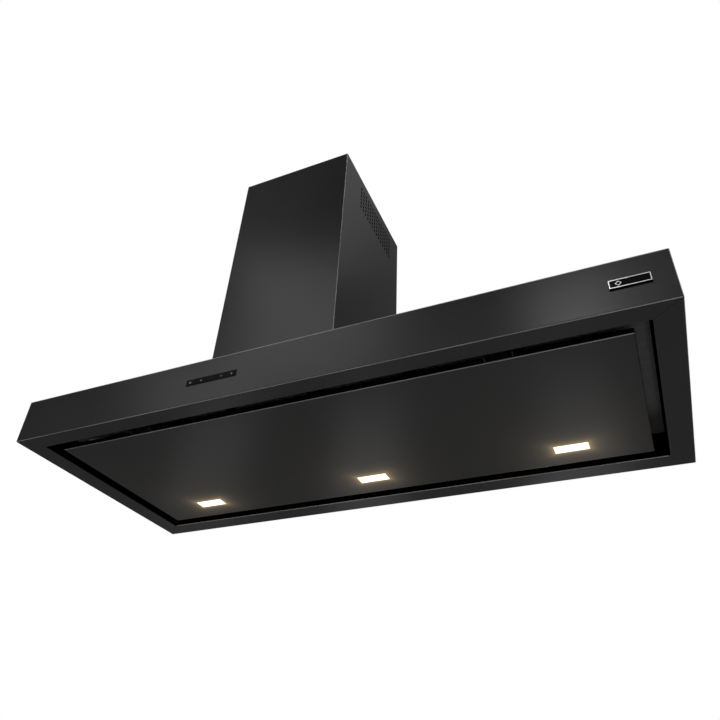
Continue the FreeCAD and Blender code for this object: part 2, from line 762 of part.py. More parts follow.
def scroll_halves():
    half = scroll_half_width
    solid = scroll_outline(0).extrude(V(2 * half, 0, 0))
    solid.translate(V(-half, 0, 0))
    air = scroll_outline(scroll_wall).extrude(V(2 * (half - scroll_wall), 0, 0))
    air.translate(V(-half + scroll_wall, 0, 0))
    outlet_front = scroll_shift_y + scroll_start_radius * math.cos(math.radians(scroll_start_angle))
    outlet_rear = scroll_shift_y + scroll_end_radius
    flange = box(-half - scroll_flange, half + scroll_flange, outlet_front - scroll_flange,
                 outlet_rear + scroll_flange, box_top - skin - scroll_flange_thick, box_top - skin)
    throat = box(-half + scroll_wall, half - scroll_wall, outlet_front + scroll_wall,
                 outlet_rear - scroll_wall, box_top - skin - scroll_flange_thick, box_top - skin)
    shell = join([solid, flange]).cut([air, throat])
    shell = holes(shell, [(0, scroll_shift_y, motor_z)], ALONG_X, inlet_radius, 3 * half)
    reach = 4 * scroll_end_radius
    halves = []
    for sx in (-1, 1):
        side = box(min(0, sx * reach), max(0, sx * reach), -reach, reach, top_z - reach, 0)
        halves.append(shell.common(side))
    return halves


def impeller():
    """A double-inlet wheel: hub, web, two end rings and forward-leaning blades."""
    centre = V(0, scroll_shift_y, motor_z)
    web = tube(centre.add(V(-wheel_ring / 2, 0, 0)), ALONG_X, wheel_radius, shaft_radius, wheel_ring)
    hub = tube(centre.add(V(-hub_half_length, 0, 0)), ALONG_X, hub_radius, shaft_radius, 2 * hub_half_length)
    rings = [tube(centre.add(V(x, 0, 0)), ALONG_X, wheel_radius, wheel_inner_radius, wheel_ring)
             for x in (-wheel_half_width, wheel_half_width - wheel_ring)]
    blades = []
    depth = wheel_radius - wheel_inner_radius - 1
    for i in range(blade_count):
        blade = box(-wheel_half_width, wheel_half_width, -depth / 2, depth / 2,
                    -blade_thick / 2, blade_thick / 2)
        blade.rotate(V(0, 0, 0), ALONG_X, blade_lean)
        blade.translate(V(0, (wheel_radius + wheel_inner_radius) / 2, 0))
        blade.rotate(V(0, 0, 0), ALONG_X, 360.0 * i / blade_count)
        blade.translate(centre)
        blades.append(blade)
    return join([web, hub] + rings + blades)


def motor_shaft():
    start = V(-motor_right - shaft_in_motor, scroll_shift_y, motor_z)
    return rod(start, ALONG_X, shaft_radius - fit_gap, motor_right + shaft_in_motor + shaft_right)


def motor():
    start = V(-motor_left, scroll_shift_y, motor_z)
    body = rod(start, ALONG_X, motor_radius, motor_left - motor_right)
    bore_start = V(-motor_right - shaft_in_motor - 2, scroll_shift_y, motor_z)
    return body.cut(rod(bore_start, ALONG_X, shaft_radius, shaft_in_motor + 2))


def motor_bracket():
    """A ring round the motor with three arms out to the scroll's side."""
    x = -scroll_half_width - bush_thick - bracket_thick
    centre = V(x, scroll_shift_y, motor_z)
    ring = rod(centre, ALONG_X, motor_radius + bracket_ring, bracket_thick)
    arms = []
    for i in range(3):
        arm = box(0, bracket_thick, 0, bracket_arm_radius, -bracket_arm_width / 2, bracket_arm_width / 2)
        arm.rotate(V(0, 0, 0), ALONG_X, 90.0 + 120.0 * i)
        arm.translate(centre)
        arms.append(arm)
    return join([ring] + arms).cut(rod(centre, ALONG_X, motor_radius + fit_gap, bracket_thick))


def motor_bushes():
    """Rubber discs between the bracket's arms and the scroll."""
    bushes = []
    for i in range(3):
        a = math.radians(90.0 + 120.0 * i)
        start = V(-scroll_half_width - bush_thick, scroll_shift_y + bush_circle * math.cos(a),
                  motor_z + bush_circle * math.sin(a))
        bushes.append(rod(start, ALONG_X, bush_radius, bush_thick))
    return bushes


# ---------------------------------------------------------------- duct collar
def duct_collar():
    base = V(0, 0, box_top)
    plate = block(0, 0, box_top, box_top + collar_flange_thick, 2 * collar_flange, 2 * collar_flange)
    pipe = rod(base, ALONG_Z, collar_radius, collar_height)
    solid = join([plate, pipe]).cut(rod(base, ALONG_Z, collar_radius - collar_wall, collar_height))
    return holes(solid, [(0, 0, flap_z)], ALONG_X, flap_pin_radius + fit_gap, 3 * collar_radius)


def flap_pin():
    half = collar_radius - slide_gap
    return rod(V(-half, 0, flap_z), ALONG_X, flap_pin_radius, 2 * half)


def flap(side):
    """A half disc on two knuckles; side is -1 for the front flap and 1 for the rear one."""
    disc_radius = collar_radius - collar_wall - flap_gap
    disc = rod(V(0, 0, flap_z - flap_thick / 2), ALONG_Z, disc_radius, flap_thick)
    near = knuckle_radius + knuckle_gap
    keep = box(-disc_radius, disc_radius, min(side * near, side * disc_radius),
               max(side * near, side * disc_radius), flap_z - flap_thick, flap_z + flap_thick)
    pieces = [disc.common(keep)]
    pitch = knuckle_length + knuckle_gap
    slots = (-1.0, 1.0) if side < 0 else (0.0, 2.0)
    for slot in slots:
        x0 = (slot - 1.0) * pitch
        pieces.append(rod(V(x0, 0, flap_z), ALONG_X, knuckle_radius, knuckle_length))
        pieces.append(box(x0, x0 + knuckle_length, min(0, side * near), max(0, side * near),
                          flap_z - flap_thick / 2, flap_z + flap_thick / 2))
    whole = join(pieces)
    return whole.cut(rod(V(-collar_radius, 0, flap_z), ALONG_X, flap_pin_radius + fit_gap, 2 * collar_radius))


# ---------------------------------------------------------------- electrics
def electronics_box():
    """The closed control unit on the deck behind the filters."""
    x = open_right - unit_from_right
    y1 = open_rear + lip_return - 2 * screw_head_radius - 6
    body = box(x - unit_width / 2, x + unit_width / 2, y1 - unit_depth, y1, deck_z + skin,
               deck_z + skin + unit_height)
    return body.makeFillet(2.0, [e for e in body.Edges if abs(e.tangentAt(e.FirstParameter).z) > 0.9])


def cable_gland():
    gx, gy = gland_place
    low = V(gx, gy, box_top - skin - 6)
    stem = rod(low, ALONG_Z, gland_radius, gland_height)
    nut = rod(V(gx, gy, box_top - skin - 5), ALONG_Z, gland_nut_radius, 5)
    collar = rod(V(gx, gy, box_top), ALONG_Z, gland_nut_radius, 6)
    return join([stem, nut, collar]).cut(rod(low, ALONG_Z, gland_bore, gland_height))


# ---------------------------------------------------------------- controls and badge
def control_bezel():
    """A dark strip let into the front face, with a window for each key."""
    front = box(control_x - control_width / 2, control_x + control_width / 2, front_y - control_proud,
                front_y + skin, control_z - control_depth / 2, control_z + control_depth / 2)
    front = rounded(front, edge_round, front_edge(front_y - control_proud))
    back = box(control_x - control_width / 2 - bezel_flange, control_x + control_width / 2 + bezel_flange,
               front_y + skin, front_y + skin + bezel_back, control_z - control_depth / 2 - bezel_flange,
               control_z + control_depth / 2 + bezel_flange)
    windows = [box(x - key_width / 2 - key_gap, x + key_width / 2 + key_gap, front_y - 1,
                   front_y + skin + bezel_back, control_z - key_height / 2 - key_gap,
                   control_z + key_height / 2 + key_gap) for x in key_places]
    return join([front, back]).cut(windows)


def control_key(x):
    y0 = front_y - control_proud - key_proud
    cap = box(x - key_width / 2, x + key_width / 2, y0, y0 + key_length, control_z - key_height / 2,
              control_z + key_height / 2)
    cap = rounded(cap, edge_round, front_edge(y0))
    stop_y = front_y + skin + bezel_back + key_gap
    stop_width = key_pitch - key_gap
    stop = box(x - stop_width / 2, x + stop_width / 2, stop_y, stop_y + 1.2, control_z - key_height / 2 - 1,
               control_z + key_height / 2 + 1)
    return join([cap, stop])


def control_housing():
    half_x = control_width / 2 + bezel_flange + 1 + housing_wall
    half_z = control_depth / 2 + bezel_flange + 0.5 + housing_wall
    y0 = front_y + skin
    outer = box(control_x - half_x, control_x + half_x, y0, y0 + housing_depth, control_z - half_z,
                control_z + half_z)
    inner = box(control_x - half_x + housing_wall, control_x + half_x - housing_wall, y0,
                y0 + housing_depth - housing_wall, control_z - half_z + housing_wall,
                control_z + half_z - housing_wall)
    return outer.cut(inner)


def control_board():
    """The circuit board on the housing's back wall, with one switch behind each key."""
    y1 = front_y + skin + housing_depth - housing_wall
    half_x = control_width / 2
    board = box(control_x - half_x, control_x + half_x, y1 - board_thick, y1, control_z - control_depth / 2,
                control_z + control_depth / 2)
    key_back = front_y - control_proud - key_proud + key_length
    switches = [box(x - switch_size / 2, x + switch_size / 2, key_back + key_travel + key_gap,
                    y1 - board_thick, control_z - switch_size / 2, control_z + switch_size / 2)
                for x in key_places]
    return join([board] + switches)


def badge_frame():
    """A bright outline laid on the badge's face."""
    y0 = front_y - badge_proud - badge_frame_thick
    half_x = badge_width / 2
    half_z = badge_depth / 2
    outer = box(badge_x - half_x, badge_x + half_x, y0, y0 + badge_frame_thick,
                badge_z - half_z, badge_z + half_z)
    inner = box(badge_x - half_x + badge_line, badge_x + half_x - badge_line, y0, y0 + badge_frame_thick,
                badge_z - half_z + badge_line, badge_z + half_z - badge_line)
    return outer.cut(inner)


def badge_plate():
    half_x = badge_width / 2 + badge_edge
    half_z = badge_depth / 2 + badge_edge
    plate = box(badge_x - half_x, badge_x + half_x, front_y - badge_proud, front_y,
                badge_z - half_z, badge_z + half_z)
    return rounded(plate, badge_edge, front_edge(front_y - badge_proud))


# ---------------------------------------------------------------- suction panel
def suction_panel():
    """A shallow tray with upturned lips, hinge ears at the rear and three lamp windows."""
    outer = box(panel_left, panel_right, panel_front, panel_rear, rim_z, rim_z + panel_lip)
    outer = rounded(outer, bend, upright_edge, level_edge(rim_z))
    inner = box(panel_left + skin, panel_right - skin, panel_front + skin, panel_rear - skin,
                rim_z + skin, rim_z + panel_lip)
    inner = rounded(inner, bend - skin, upright_edge, level_edge(rim_z + skin))
    cuts = [block(x, lamp_y, rim_z, rim_z + skin, lamp_window_width + 2 * lamp_sleeve + 2 * sheet_gap,
                  lamp_window_depth + 2 * lamp_sleeve + 2 * sheet_gap) for x in lamp_places]
    tray = outer.cut([inner] + cuts)
    ears = []
    for x in hinge_places:
        for side in (-1, 1):
            near = x + side * (hinge_leaf / 2 + slide_gap)
            far = near + side * hinge_ear
            web = box(min(near, far), max(near, far), hinge_y - hinge_knuckle, hinge_y + hinge_knuckle - 1,
                      rim_z + skin, hinge_z)
            eye = rod(V(min(near, far), hinge_y, hinge_z), ALONG_X, hinge_knuckle, hinge_ear)
            ears += [web, eye]
    solid = join([tray] + ears)
    eyes = [(x, hinge_y, hinge_z) for x in hinge_places]
    return holes(solid, eyes, ALONG_X, hinge_pin_radius + fit_gap, 6 * hinge_leaf)


def hinge_brackets():
    """Leaves hung from the deck that carry the panel's pins."""
    leaves = []
    for x in hinge_places:
        y1 = hinge_y + 2
        y0 = y1 - hinge_leaf_depth
        web = box(x - hinge_leaf / 2, x + hinge_leaf / 2, y0, y1, hinge_z, deck_z)
        eye = rod(V(x - hinge_leaf / 2, hinge_y, hinge_z), ALONG_X, hinge_knuckle, hinge_leaf)
        foot = box(x - 3 * hinge_leaf, x + 3 * hinge_leaf, y0, y1, deck_z - hinge_leaf / 2, deck_z)
        leaf = join([web, eye, foot])
        leaves.append(holes(leaf, [(x, hinge_y, hinge_z)], ALONG_X, hinge_pin_radius + fit_gap,
                            3 * hinge_leaf))
    return leaves


def hinge_pins():
    half = hinge_leaf / 2 + slide_gap + hinge_ear + 0.8
    return [rod(V(x - half, hinge_y, hinge_z), ALONG_X, hinge_pin_radius, 2 * half) for x in hinge_places]


def panel_catches():
    """Blocks on the front lip; a downward mouth takes the striker's pin."""
    catches = []
    pin_y = panel_front - striker_pin_reach
    mouth = striker_pin_radius + slide_gap
    for x in catch_places:
        body = box(x - catch_width / 2, x + catch_width / 2, open_front, pin_y + 3 * striker_pin_radius,
                   rim_z + catch_bottom, rim_z + catch_bottom + catch_height)
        slot = box(x - catch_width / 2, x + catch_width / 2, pin_y - mouth, pin_y + mouth,
                   rim_z + catch_bottom, rim_z + striker_pin_height + mouth)
        catches.append(body.cut(slot))
    return catches


def panel_strikers():
    """A bracket on the panel's front lip with a cross pin between two ears."""
    strikers = []
    pin_y = panel_front - striker_pin_reach
    pin_z = rim_z + striker_pin_height
    half = catch_width / 2 + 2 * slide_gap
    for x in catch_places:
        pieces = [rod(V(x - half, pin_y, pin_z), ALONG_X, striker_pin_radius, 2 * half)]
        for side in (-1, 1):
            near = x + side * half
            far = near + side * striker_ear
            pieces.append(box(min(near, far), max(near, far), pin_y - 2 * striker_pin_radius,
                              panel_front, rim_z + skin, pin_z + 2 * striker_pin_radius))
        pieces.append(box(x - half - striker_ear, x + half + striker_ear, panel_front - striker_ear,
                          panel_front, rim_z + skin, rim_z + panel_lip))
        strikers.append(join(pieces))
    return strikers


# ---------------------------------------------------------------- lamps in the panel
def led_bezel(x):
    face = block(x, lamp_y, rim_z - lamp_bezel_proud, rim_z, lamp_bezel_width, lamp_bezel_depth)
    sleeve = block(x, lamp_y, rim_z, rim_z + lamp_sleeve_height, lamp_window_width + 2 * lamp_sleeve,
                   lamp_window_depth + 2 * lamp_sleeve)
    window = block(x, lamp_y, rim_z - lamp_bezel_proud, rim_z + lamp_sleeve_height,
                   lamp_window_width, lamp_window_depth)
    return join([face, sleeve]).cut(window)


def led_diffuser(x):
    low = rim_z - lamp_bezel_proud + diffuser_recess
    return block(x, lamp_y, low, low + diffuser_thick, lamp_window_width - 2 * sheet_gap,
                 lamp_window_depth - 2 * sheet_gap)


def led_housing(x):
    """The lamp body over the panel's window, open below onto the diffuser."""
    low = rim_z + skin
    inside_width = lamp_window_width + 2 * lamp_sleeve + 2 * sheet_gap
    inside_depth = lamp_window_depth + 2 * lamp_sleeve + 2 * sheet_gap
    outer = block(x, lamp_y, low, low + lamp_housing_height, inside_width + 2 * lamp_housing_lap,
                  inside_depth + 2 * lamp_housing_lap)
    inner = block(x, lamp_y, low, low + lamp_housing_height - lamp_housing_lap, inside_width, inside_depth)
    return outer.cut(inner)


# ---------------------------------------------------------------- the whole hood
def build():
    nodes = {}
    nodes["ceiling_plate"] = ceiling_plate()
    nodes["upper_uprights"] = upper_uprights()
    nodes["upper_chimney_cover"] = upper_chimney_cover()
    nodes["upper_chimney_rear"] = upper_chimney_rear()
    nodes["upper_chimney_screws"] = upper_chimney_screws()

    nodes["lower_uprights"] = lower_uprights()
    nodes["upright_bolts"] = upright_bolts()
    nodes["frame_base"] = frame_base()
    nodes["frame_bolts"] = frame_bolt_set()
    nodes["load_rails"] = load_rails()
    nodes["lower_chimney_cover"] = lower_chimney_cover()
    nodes["lower_chimney_rear"] = lower_chimney_rear()
    nodes["lower_chimney_screws"] = lower_chimney_screws()

    front, rear, left, right = canopy_sides()
    nodes["canopy_front"] = front
    nodes["canopy_rear"] = rear
    nodes["canopy_left"] = left
    nodes["canopy_right"] = right
    nodes["canopy_top"] = canopy_top()
    nodes["filter_deck"] = filter_deck()
    nodes["deck_screws"] = deck_screw_set()

    for number, x in enumerate(filter_places, 1):
        nodes["grease_filter_%d" % number] = grease_filter(x)
        nodes["filter_latch_%d" % number] = filter_latch(x)
    nodes["latch_keepers"] = latch_keepers()
    nodes["filter_hooks"] = filter_hooks()

    scroll_left, scroll_right = scroll_halves()
    nodes["motor_box"] = motor_box()
    nodes["scroll_left"] = scroll_left
    nodes["scroll_right"] = scroll_right
    nodes["impeller"] = impeller()
    nodes["motor_shaft"] = motor_shaft()
    nodes["motor"] = motor()
    nodes["motor_bracket"] = motor_bracket()
    nodes["motor_bushes"] = motor_bushes()

    nodes["duct_collar"] = duct_collar()
    nodes["flap_pin"] = flap_pin()
    nodes["flap_front"] = flap(-1)
    nodes["flap_rear"] = flap(1)
    nodes["electronics_box"] = electronics_box()
    nodes["cable_gland"] = cable_gland()

    nodes["control_bezel"] = control_bezel()
    for number, x in enumerate(key_places, 1):
        nodes["control_key_%d" % number] = control_key(x)
    nodes["control_housing"] = control_housing()
    nodes["control_board"] = control_board()
    nodes["badge_frame"] = badge_frame()
    nodes["badge_plate"] = badge_plate()

    nodes["suction_panel"] = suction_panel()
    nodes["hinge_brackets"] = hinge_brackets()
    nodes["hinge_pins"] = hinge_pins()
    nodes["panel_catches"] = panel_catches()
    nodes["panel_strikers"] = panel_strikers()
    nodes["led_bezels"] = [led_bezel(x) for x in lamp_places]
    nodes["led_diffusers"] = [led_diffuser(x) for x in lamp_places]
    nodes["led_housings"] = [led_housing(x) for x in lamp_places]
    return nodes


def save(name, shape):
    """Writes one node: a single solid, or a group of separate solids."""
    solids = []
    for piece in (shape if isinstance(shape, list) else [shape]):
        solids += piece.Solids
    whole = solids[0] if len(solids) == 1 else Part.makeCompound(solids)
    whole.exportStep(os.path.join("parts", name + ".step"))
    print(name, len(solids), round(sum(s.Volume for s in solids) / 1000.0, 2), "cm3",
          "valid" if all(s.isValid() for s in solids) else "NOT VALID")


os.makedirs("parts", exist_ok=True)
for node_name, node_shape in build().items():
    save(node_name, node_shape)
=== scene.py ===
# %% [markdown]
# # Island range hood
#
# The hood hangs from the ceiling: a telescopic chimney, a wide flat canopy, a black
# panel that swings down to free the grease filters, three lamps and five keys.
# All its sheet parts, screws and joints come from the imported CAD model, which this
# script loads as a fixed frame. What is made here is the finish of every part, and
# the small things that a CAD model leaves plain: screw recesses, filter mesh, printed
# key marks. Units are metres. The ceiling is z = 0 and the front of the hood faces -y.

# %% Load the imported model
import math

import bmesh
import bpy
from mathutils import Matrix, Vector


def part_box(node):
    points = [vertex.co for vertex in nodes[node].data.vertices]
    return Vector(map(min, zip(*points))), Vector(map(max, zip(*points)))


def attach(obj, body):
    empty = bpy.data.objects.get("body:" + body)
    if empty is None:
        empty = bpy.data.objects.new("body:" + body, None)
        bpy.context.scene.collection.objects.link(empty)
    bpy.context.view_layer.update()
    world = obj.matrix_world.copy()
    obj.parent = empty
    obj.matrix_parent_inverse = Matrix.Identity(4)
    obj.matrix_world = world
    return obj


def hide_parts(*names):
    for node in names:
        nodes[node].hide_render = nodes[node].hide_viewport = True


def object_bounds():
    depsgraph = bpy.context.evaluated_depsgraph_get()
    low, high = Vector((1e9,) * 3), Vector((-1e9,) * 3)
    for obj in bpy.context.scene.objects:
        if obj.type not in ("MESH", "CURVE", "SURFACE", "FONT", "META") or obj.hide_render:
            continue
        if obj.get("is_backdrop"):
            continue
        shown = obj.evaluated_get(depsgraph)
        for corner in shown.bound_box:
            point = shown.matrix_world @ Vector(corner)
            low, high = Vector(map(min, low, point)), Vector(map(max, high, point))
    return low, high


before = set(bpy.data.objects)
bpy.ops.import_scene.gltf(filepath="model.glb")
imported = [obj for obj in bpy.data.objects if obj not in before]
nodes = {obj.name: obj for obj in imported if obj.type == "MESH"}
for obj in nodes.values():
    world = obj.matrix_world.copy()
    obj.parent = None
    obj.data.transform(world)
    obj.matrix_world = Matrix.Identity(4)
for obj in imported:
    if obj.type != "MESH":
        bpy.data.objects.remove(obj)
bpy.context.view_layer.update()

# %% [markdown]
# ## Camera and stage
#
# A hood is seen from below by someone standing in front of it, so the camera stands
# lower than the canopy and looks up. Three directions fix it: where it looks, what is
# to its right, and what is above. A matrix made from them has no ambiguity, while
# Euler angles would hide a small roll.

# %% Camera
camera_place = Vector((0.602, -1.024, -1.296))
camera_ahead = Vector((-0.34700, 0.73369, 0.58421))
camera_right = Vector((0.91564, 0.39982, 0.04174))
camera_lens_mm = 33.36
sensor_mm = 36.0

camera_up = camera_right.cross(camera_ahead)
turned = Matrix((camera_right, camera_up, -camera_ahead)).transposed().to_4x4()
camera = bpy.data.objects.new("camera", bpy.data.cameras.new("camera"))
camera.data.lens = camera_lens_mm
camera.data.sensor_width = sensor_mm
camera.data.clip_start = 0.01
camera.matrix_world = Matrix.Translation(camera_place) @ turned
bpy.context.scene.collection.objects.link(camera)
bpy.context.scene.camera = camera

# %% [markdown]
# ## Shader maths written as Python
#
# A procedural finish is arithmetic on textures. Wiring each Math node by hand hides
# the formula, so a socket is wrapped in a small class with overloaded operators:
# `1 - mask * 0.5` then adds its two Math nodes. Every other kind of node comes from
# one method, `NodeMaker.node`, which takes the node's type, its settings and its
# inputs. Materials and Geometry Nodes trees share it.

# %% A socket with arithmetic
class Wire:
    """One output of a node. An operator on it adds a Math node to the same tree."""

    def __init__(self, maker, socket):
        self.maker = maker
        self.socket = socket

    def out(self, name):
        found = [s for s in self.socket.node.outputs if s.enabled and s.name == name]
        return Wire(self.maker, found[0])

    def math(self, operation, *values):
        inputs = dict(enumerate(values))
        return self.maker.node("ShaderNodeMath", {"operation": operation}, inputs)

    def __add__(self, other):
        return self.math("ADD", self, other)

    def __radd__(self, other):
        return self.math("ADD", other, self)

    def __sub__(self, other):
        return self.math("SUBTRACT", self, other)

    def __rsub__(self, other):
        return self.math("SUBTRACT", other, self)

    def __mul__(self, other):
        return self.math("MULTIPLY", self, other)

    def __rmul__(self, other):
        return self.math("MULTIPLY", other, self)

    def __truediv__(self, other):
        return self.math("DIVIDE", self, other)

    def __pow__(self, other):
        return self.math("POWER", self, other)

    def __abs__(self):
        return self.math("ABSOLUTE", self)

    def least(self, other):
        return self.math("MINIMUM", self, other)

    def most(self, other):
        return self.math("MAXIMUM", self, other)

    def from_row(self, first, pitch):
        """Distance from the nearest of a row of marks that stand a pitch apart."""
        share = (self - first) / pitch + 0.5
        return abs(share.math("FRACT", share) - 0.5) * pitch

    def ramp(self, low, high, to_low=0.0, to_high=1.0):
        """A smooth step from to_low, at low, to to_high, at high."""
        settings = {"interpolation_type": "SMOOTHSTEP"}
        sockets = {"Value": self, 1: low, 2: high, 3: to_low, 4: to_high}
        return self.maker.node("ShaderNodeMapRange", settings, sockets)


# %% Any node, from its type, its settings and its inputs
class NodeMaker:
    """A node tree under construction. Subclasses give it a tree."""

    def node(self, kind, settings, inputs):
        made = self.tree.nodes.new(kind)
        for key, value in settings.items():
            setattr(made, key, value)
        for key, value in inputs.items():
            if isinstance(key, int):
                socket = made.inputs[key]
            else:
                socket = [s for s in made.inputs if s.enabled and s.name == key][0]
            if isinstance(value, Wire):
                self.tree.links.new(value.socket, socket)
            else:
                socket.default_value = value
        shown = [s for s in made.outputs if s.enabled]
        return Wire(self, shown[0]) if shown else None


# %% A material under construction
class Finish(NodeMaker):
    """A node material. Its methods return wires, and close() ends it in one shader."""

    def __init__(self, name):
        self.material = bpy.data.materials.new(name)
        self.material.use_nodes = True
        self.tree = self.material.node_tree
        self.tree.nodes.clear()
        self.place = self.node("ShaderNodeTexCoord", {}, {}).out("Object")

    def stretched(self, scale):
        return self.node("ShaderNodeMapping", {}, {"Vector": self.place, "Scale": scale})

    def noise(self, scale, detail=2.0, grain=(1.0, 1.0, 1.0), rough=0.5):
        """Cloudy noise; a large grain number packs it tightly along that axis."""
        return self.node("ShaderNodeTexNoise", {}, {
            "Vector": self.stretched(grain), "Scale": scale, "Detail": detail, "Roughness": rough})

    def cells(self, scale, feature="F1"):
        return self.node("ShaderNodeTexVoronoi", {"feature": feature}, {
            "Vector": self.place, "Scale": scale})

    def axes(self):
        split = self.node("ShaderNodeSeparateXYZ", {}, {"Vector": self.place})
        return split, split.out("Y"), split.out("Z")

    def blend(self, share, first, second):
        """A colour between two, by a share from 0 to 1."""
        return self.node("ShaderNodeMix", {"data_type": "RGBA"},
                         {"Factor": share, "A": first, "B": second})

    def bump(self, height, distance):
        return self.node("ShaderNodeBump", {}, {"Height": height, "Distance": distance})

    def close(self, shade_share=None, **inputs):
        """Ends the material in a Principled shader; a socket's spaces are written as _.

        The shade share, if there is one, mixes in a near-black with no gloss: painted shade."""
        sockets = {key.replace("_", " "): value for key, value in inputs.items()}
        shader = self.node("ShaderNodeBsdfPrincipled", {}, sockets)
        if shade_share is not None:
            shade_black = self.node("ShaderNodeBsdfPrincipled", {}, {
                "Base Color": grey(0.0012), "Roughness": 0.8, "IOR": 1.0})
            shader = self.node("ShaderNodeMixShader", {}, {0: shade_share, 1: shader, 2: shade_black})
        self.node("ShaderNodeOutputMaterial", {}, {"Surface": shader})
        print("finish", self.material.name, "with", len(self.tree.nodes), "nodes")
        return self.material


def grey(level, warmth=0.0):
    """A neutral colour, a little warm if warmth is above 0."""
    return (level * (1 + warmth), level, level * (1 - warmth), 1.0)

# %% [markdown]
# ## Satin black sheet
#
# Everything outside is thin steel with a satin black coat. It could be one dark
# colour, but real coated sheet is never even: the grain of the rolled steel shows
# faintly through the coat, the coat itself has a fine skin, and hands and cloths leave
# slightly glossier patches. Each of these is one noise texture at its own size, fed to
# the roughness, the colour or the bump. The grain runs along the length of each part.
# Two things follow the shape instead, and both are painted light. Every fold gets a
# fine light line, a painted highlight in place of the bend's reflection, and faces that
# are turned inwards get a dull near-black, which is painted shade.

# %% Satin black coat
coat_dark = grey(0.0050, 0.05)
coat_light = grey(0.0075, 0.05)
coat_roughness = 0.24
coat_specular = 0.55
coat_skin_height = 0.00003
# Painted highlight along the folds: its light grey, and the distances from a fold over which it
# fades.
fold_highlight_colour = grey(0.85, 0.02)
fold_highlight_from = 0.0009
fold_highlight_to = 0.0015
grain_tight = 60.0
along_x = (1.0, grain_tight, grain_tight)
along_y = (grain_tight, 1.0, grain_tight)
upright = (grain_tight, grain_tight, 1.0)


def coat_parts(finish, grain, fold=None):
    """The wires that every coated sheet shares: its colour, roughness and bump height."""
    patches = finish.noise(3.5, detail=3.0)
    brushing = finish.noise(14.0, detail=4.0, grain=grain, rough=0.65)
    skin = finish.noise(900.0, detail=1.0)
    colour = finish.blend(patches.ramp(0.35, 0.65), coat_dark, coat_light)
    if fold is not None:
        # Painted highlight: near a fold the colour turns light grey, in place of the bend's
        # reflection.
        lighter_share = (1 - fold.ramp(fold_highlight_from, fold_highlight_to)) * patches.ramp(0.3, 0.7, 0.4, 1.0)
        colour = finish.blend(lighter_share, colour, fold_highlight_colour)
    roughness = coat_roughness + (patches - 0.5) * 0.10 + (brushing - 0.5) * 0.08
    height = skin * 0.5 + brushing * 0.5
    return colour, roughness, height


# Painted light: the deck's coat is mixed towards a light grey by its noise, so that the deck reads
# lit where it shows round the panel.
deck_painted_light = grey(0.30)


def deck_sheet(name):
    finish = Finish(name)
    colour, roughness, height = coat_parts(finish, along_x)
    return finish.close(Base_Color=finish.blend(height, colour, deck_painted_light), Roughness=roughness,
                        Normal=finish.bump(height, coat_skin_height),
                        Specular_IOR_Level=coat_specular)


deck_coat = deck_sheet("deck_coat")

# %% [markdown]
# ## Chimney covers and their vents
#
# The vents are real holes in the CAD sheet. What makes them read as holes is painted
# shade round and behind them: a dark ring is painted round each hole, and the faces
# inside the cover get a dull near-black. The ring is drawn by the shader from the
# rows' pitch: a coordinate is folded to its distance from the nearest row, and two such
# distances give the distance from the nearest hole.

# %% Chimney covers
# First and last vent, and their pitch, along y and z.
vent_first = Vector((-0.07425, -0.0920))
vent_last = Vector((0.10125, -0.0320))
vent_pitch = Vector((0.0135, 0.0120))
vent_edge = 0.0037
vent_shadow = 0.0043
field_margin = 0.005
field_fade = 0.001
# Where the painted shade inside begins: below a flat face, how far from a fold that
# holds, and deeper in a bend.
flat_depth = (0.0002, 0.0004)
bend_reach = (0.0016, 0.0020)
bend_depth = (0.0006, 0.0009)


def chimney_sheet(name, node):
    finish = Finish(name)
    low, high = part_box(node)
    x, y, z = finish.axes()
    from_side = abs(abs(x) - high.x)
    from_front = abs(y - low.y)
    fold = from_side.most(from_front)
    colour, roughness, height = coat_parts(finish, upright, fold)
    depth = from_side.least(from_front).least(abs(y - high.y))
    # Painted shade: the faces inside the cover are mixed with a dull near-black.
    inside = (depth.ramp(*flat_depth) * fold.ramp(*bend_reach)).most(depth.ramp(*bend_depth))
    field = 1.0
    for axis, first, last in zip((y, z), vent_first, vent_last):
        start, end = first - field_margin, last + field_margin
        field = field * axis.ramp(start - field_fade, start)
        field = field * axis.ramp(end, end + field_fade, 1.0, 0.0)
    across = y.from_row(vent_first.x, vent_pitch.x)
    upwards = z.from_row(vent_first.y, vent_pitch.y)
    away = (across ** 2.0 + upwards ** 2.0) ** 0.5
    # Painted shade: a dark ring round each hole.
    painted_hole_shade = away.ramp(vent_edge, vent_shadow, 1.0, 0.0) * field
    return finish.close(inside.most(painted_hole_shade), Base_Color=colour, Roughness=roughness,
                        Normal=finish.bump(height, coat_skin_height),
                        Specular_IOR_Level=coat_specular)


upper_chimney_coat = chimney_sheet("upper_chimney_coat", "upper_chimney_cover")
lower_chimney_coat = chimney_sheet("lower_chimney_coat", "lower_chimney_cover")

# %% [markdown]
# ## Mitred canopy
#
# The canopy's four sides are folded separately and meet in a mitre under each corner,
# where the weld is ground flat and leaves a hairline. A modelled groove would be finer
# than the mesh can carry, so the line is drawn by the shader: the distance of a point
# from the joint's line, worked out in Object coordinates, darkens a strip about a
# millimetre wide and sinks it with a bump. The joint runs through the centres of the
# outer bend and of the opening's bend, and the two rear corners differ from the front
# ones because the rear rim is wider.

# %% Canopy sides with their joint lines
canopy_low, canopy_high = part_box("canopy_top")
canopy_x = (canopy_low.x + canopy_high.x) / 2
rim_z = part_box("canopy_front")[0].z
half_length = 0.600
half_depth = 0.252
open_half_length = 0.558
open_front = 0.2155
open_rear = 0.207
bend = 0.002
joint_half_width = 0.00050
joint_tone = grey(0.001)
joint_share = 0.9
joint_bump = 6.0
corner_fade = 0.01
# Heights above the rim's underside, and distances past the opening's edge.
joint_height = (0.0005, 0.0015)
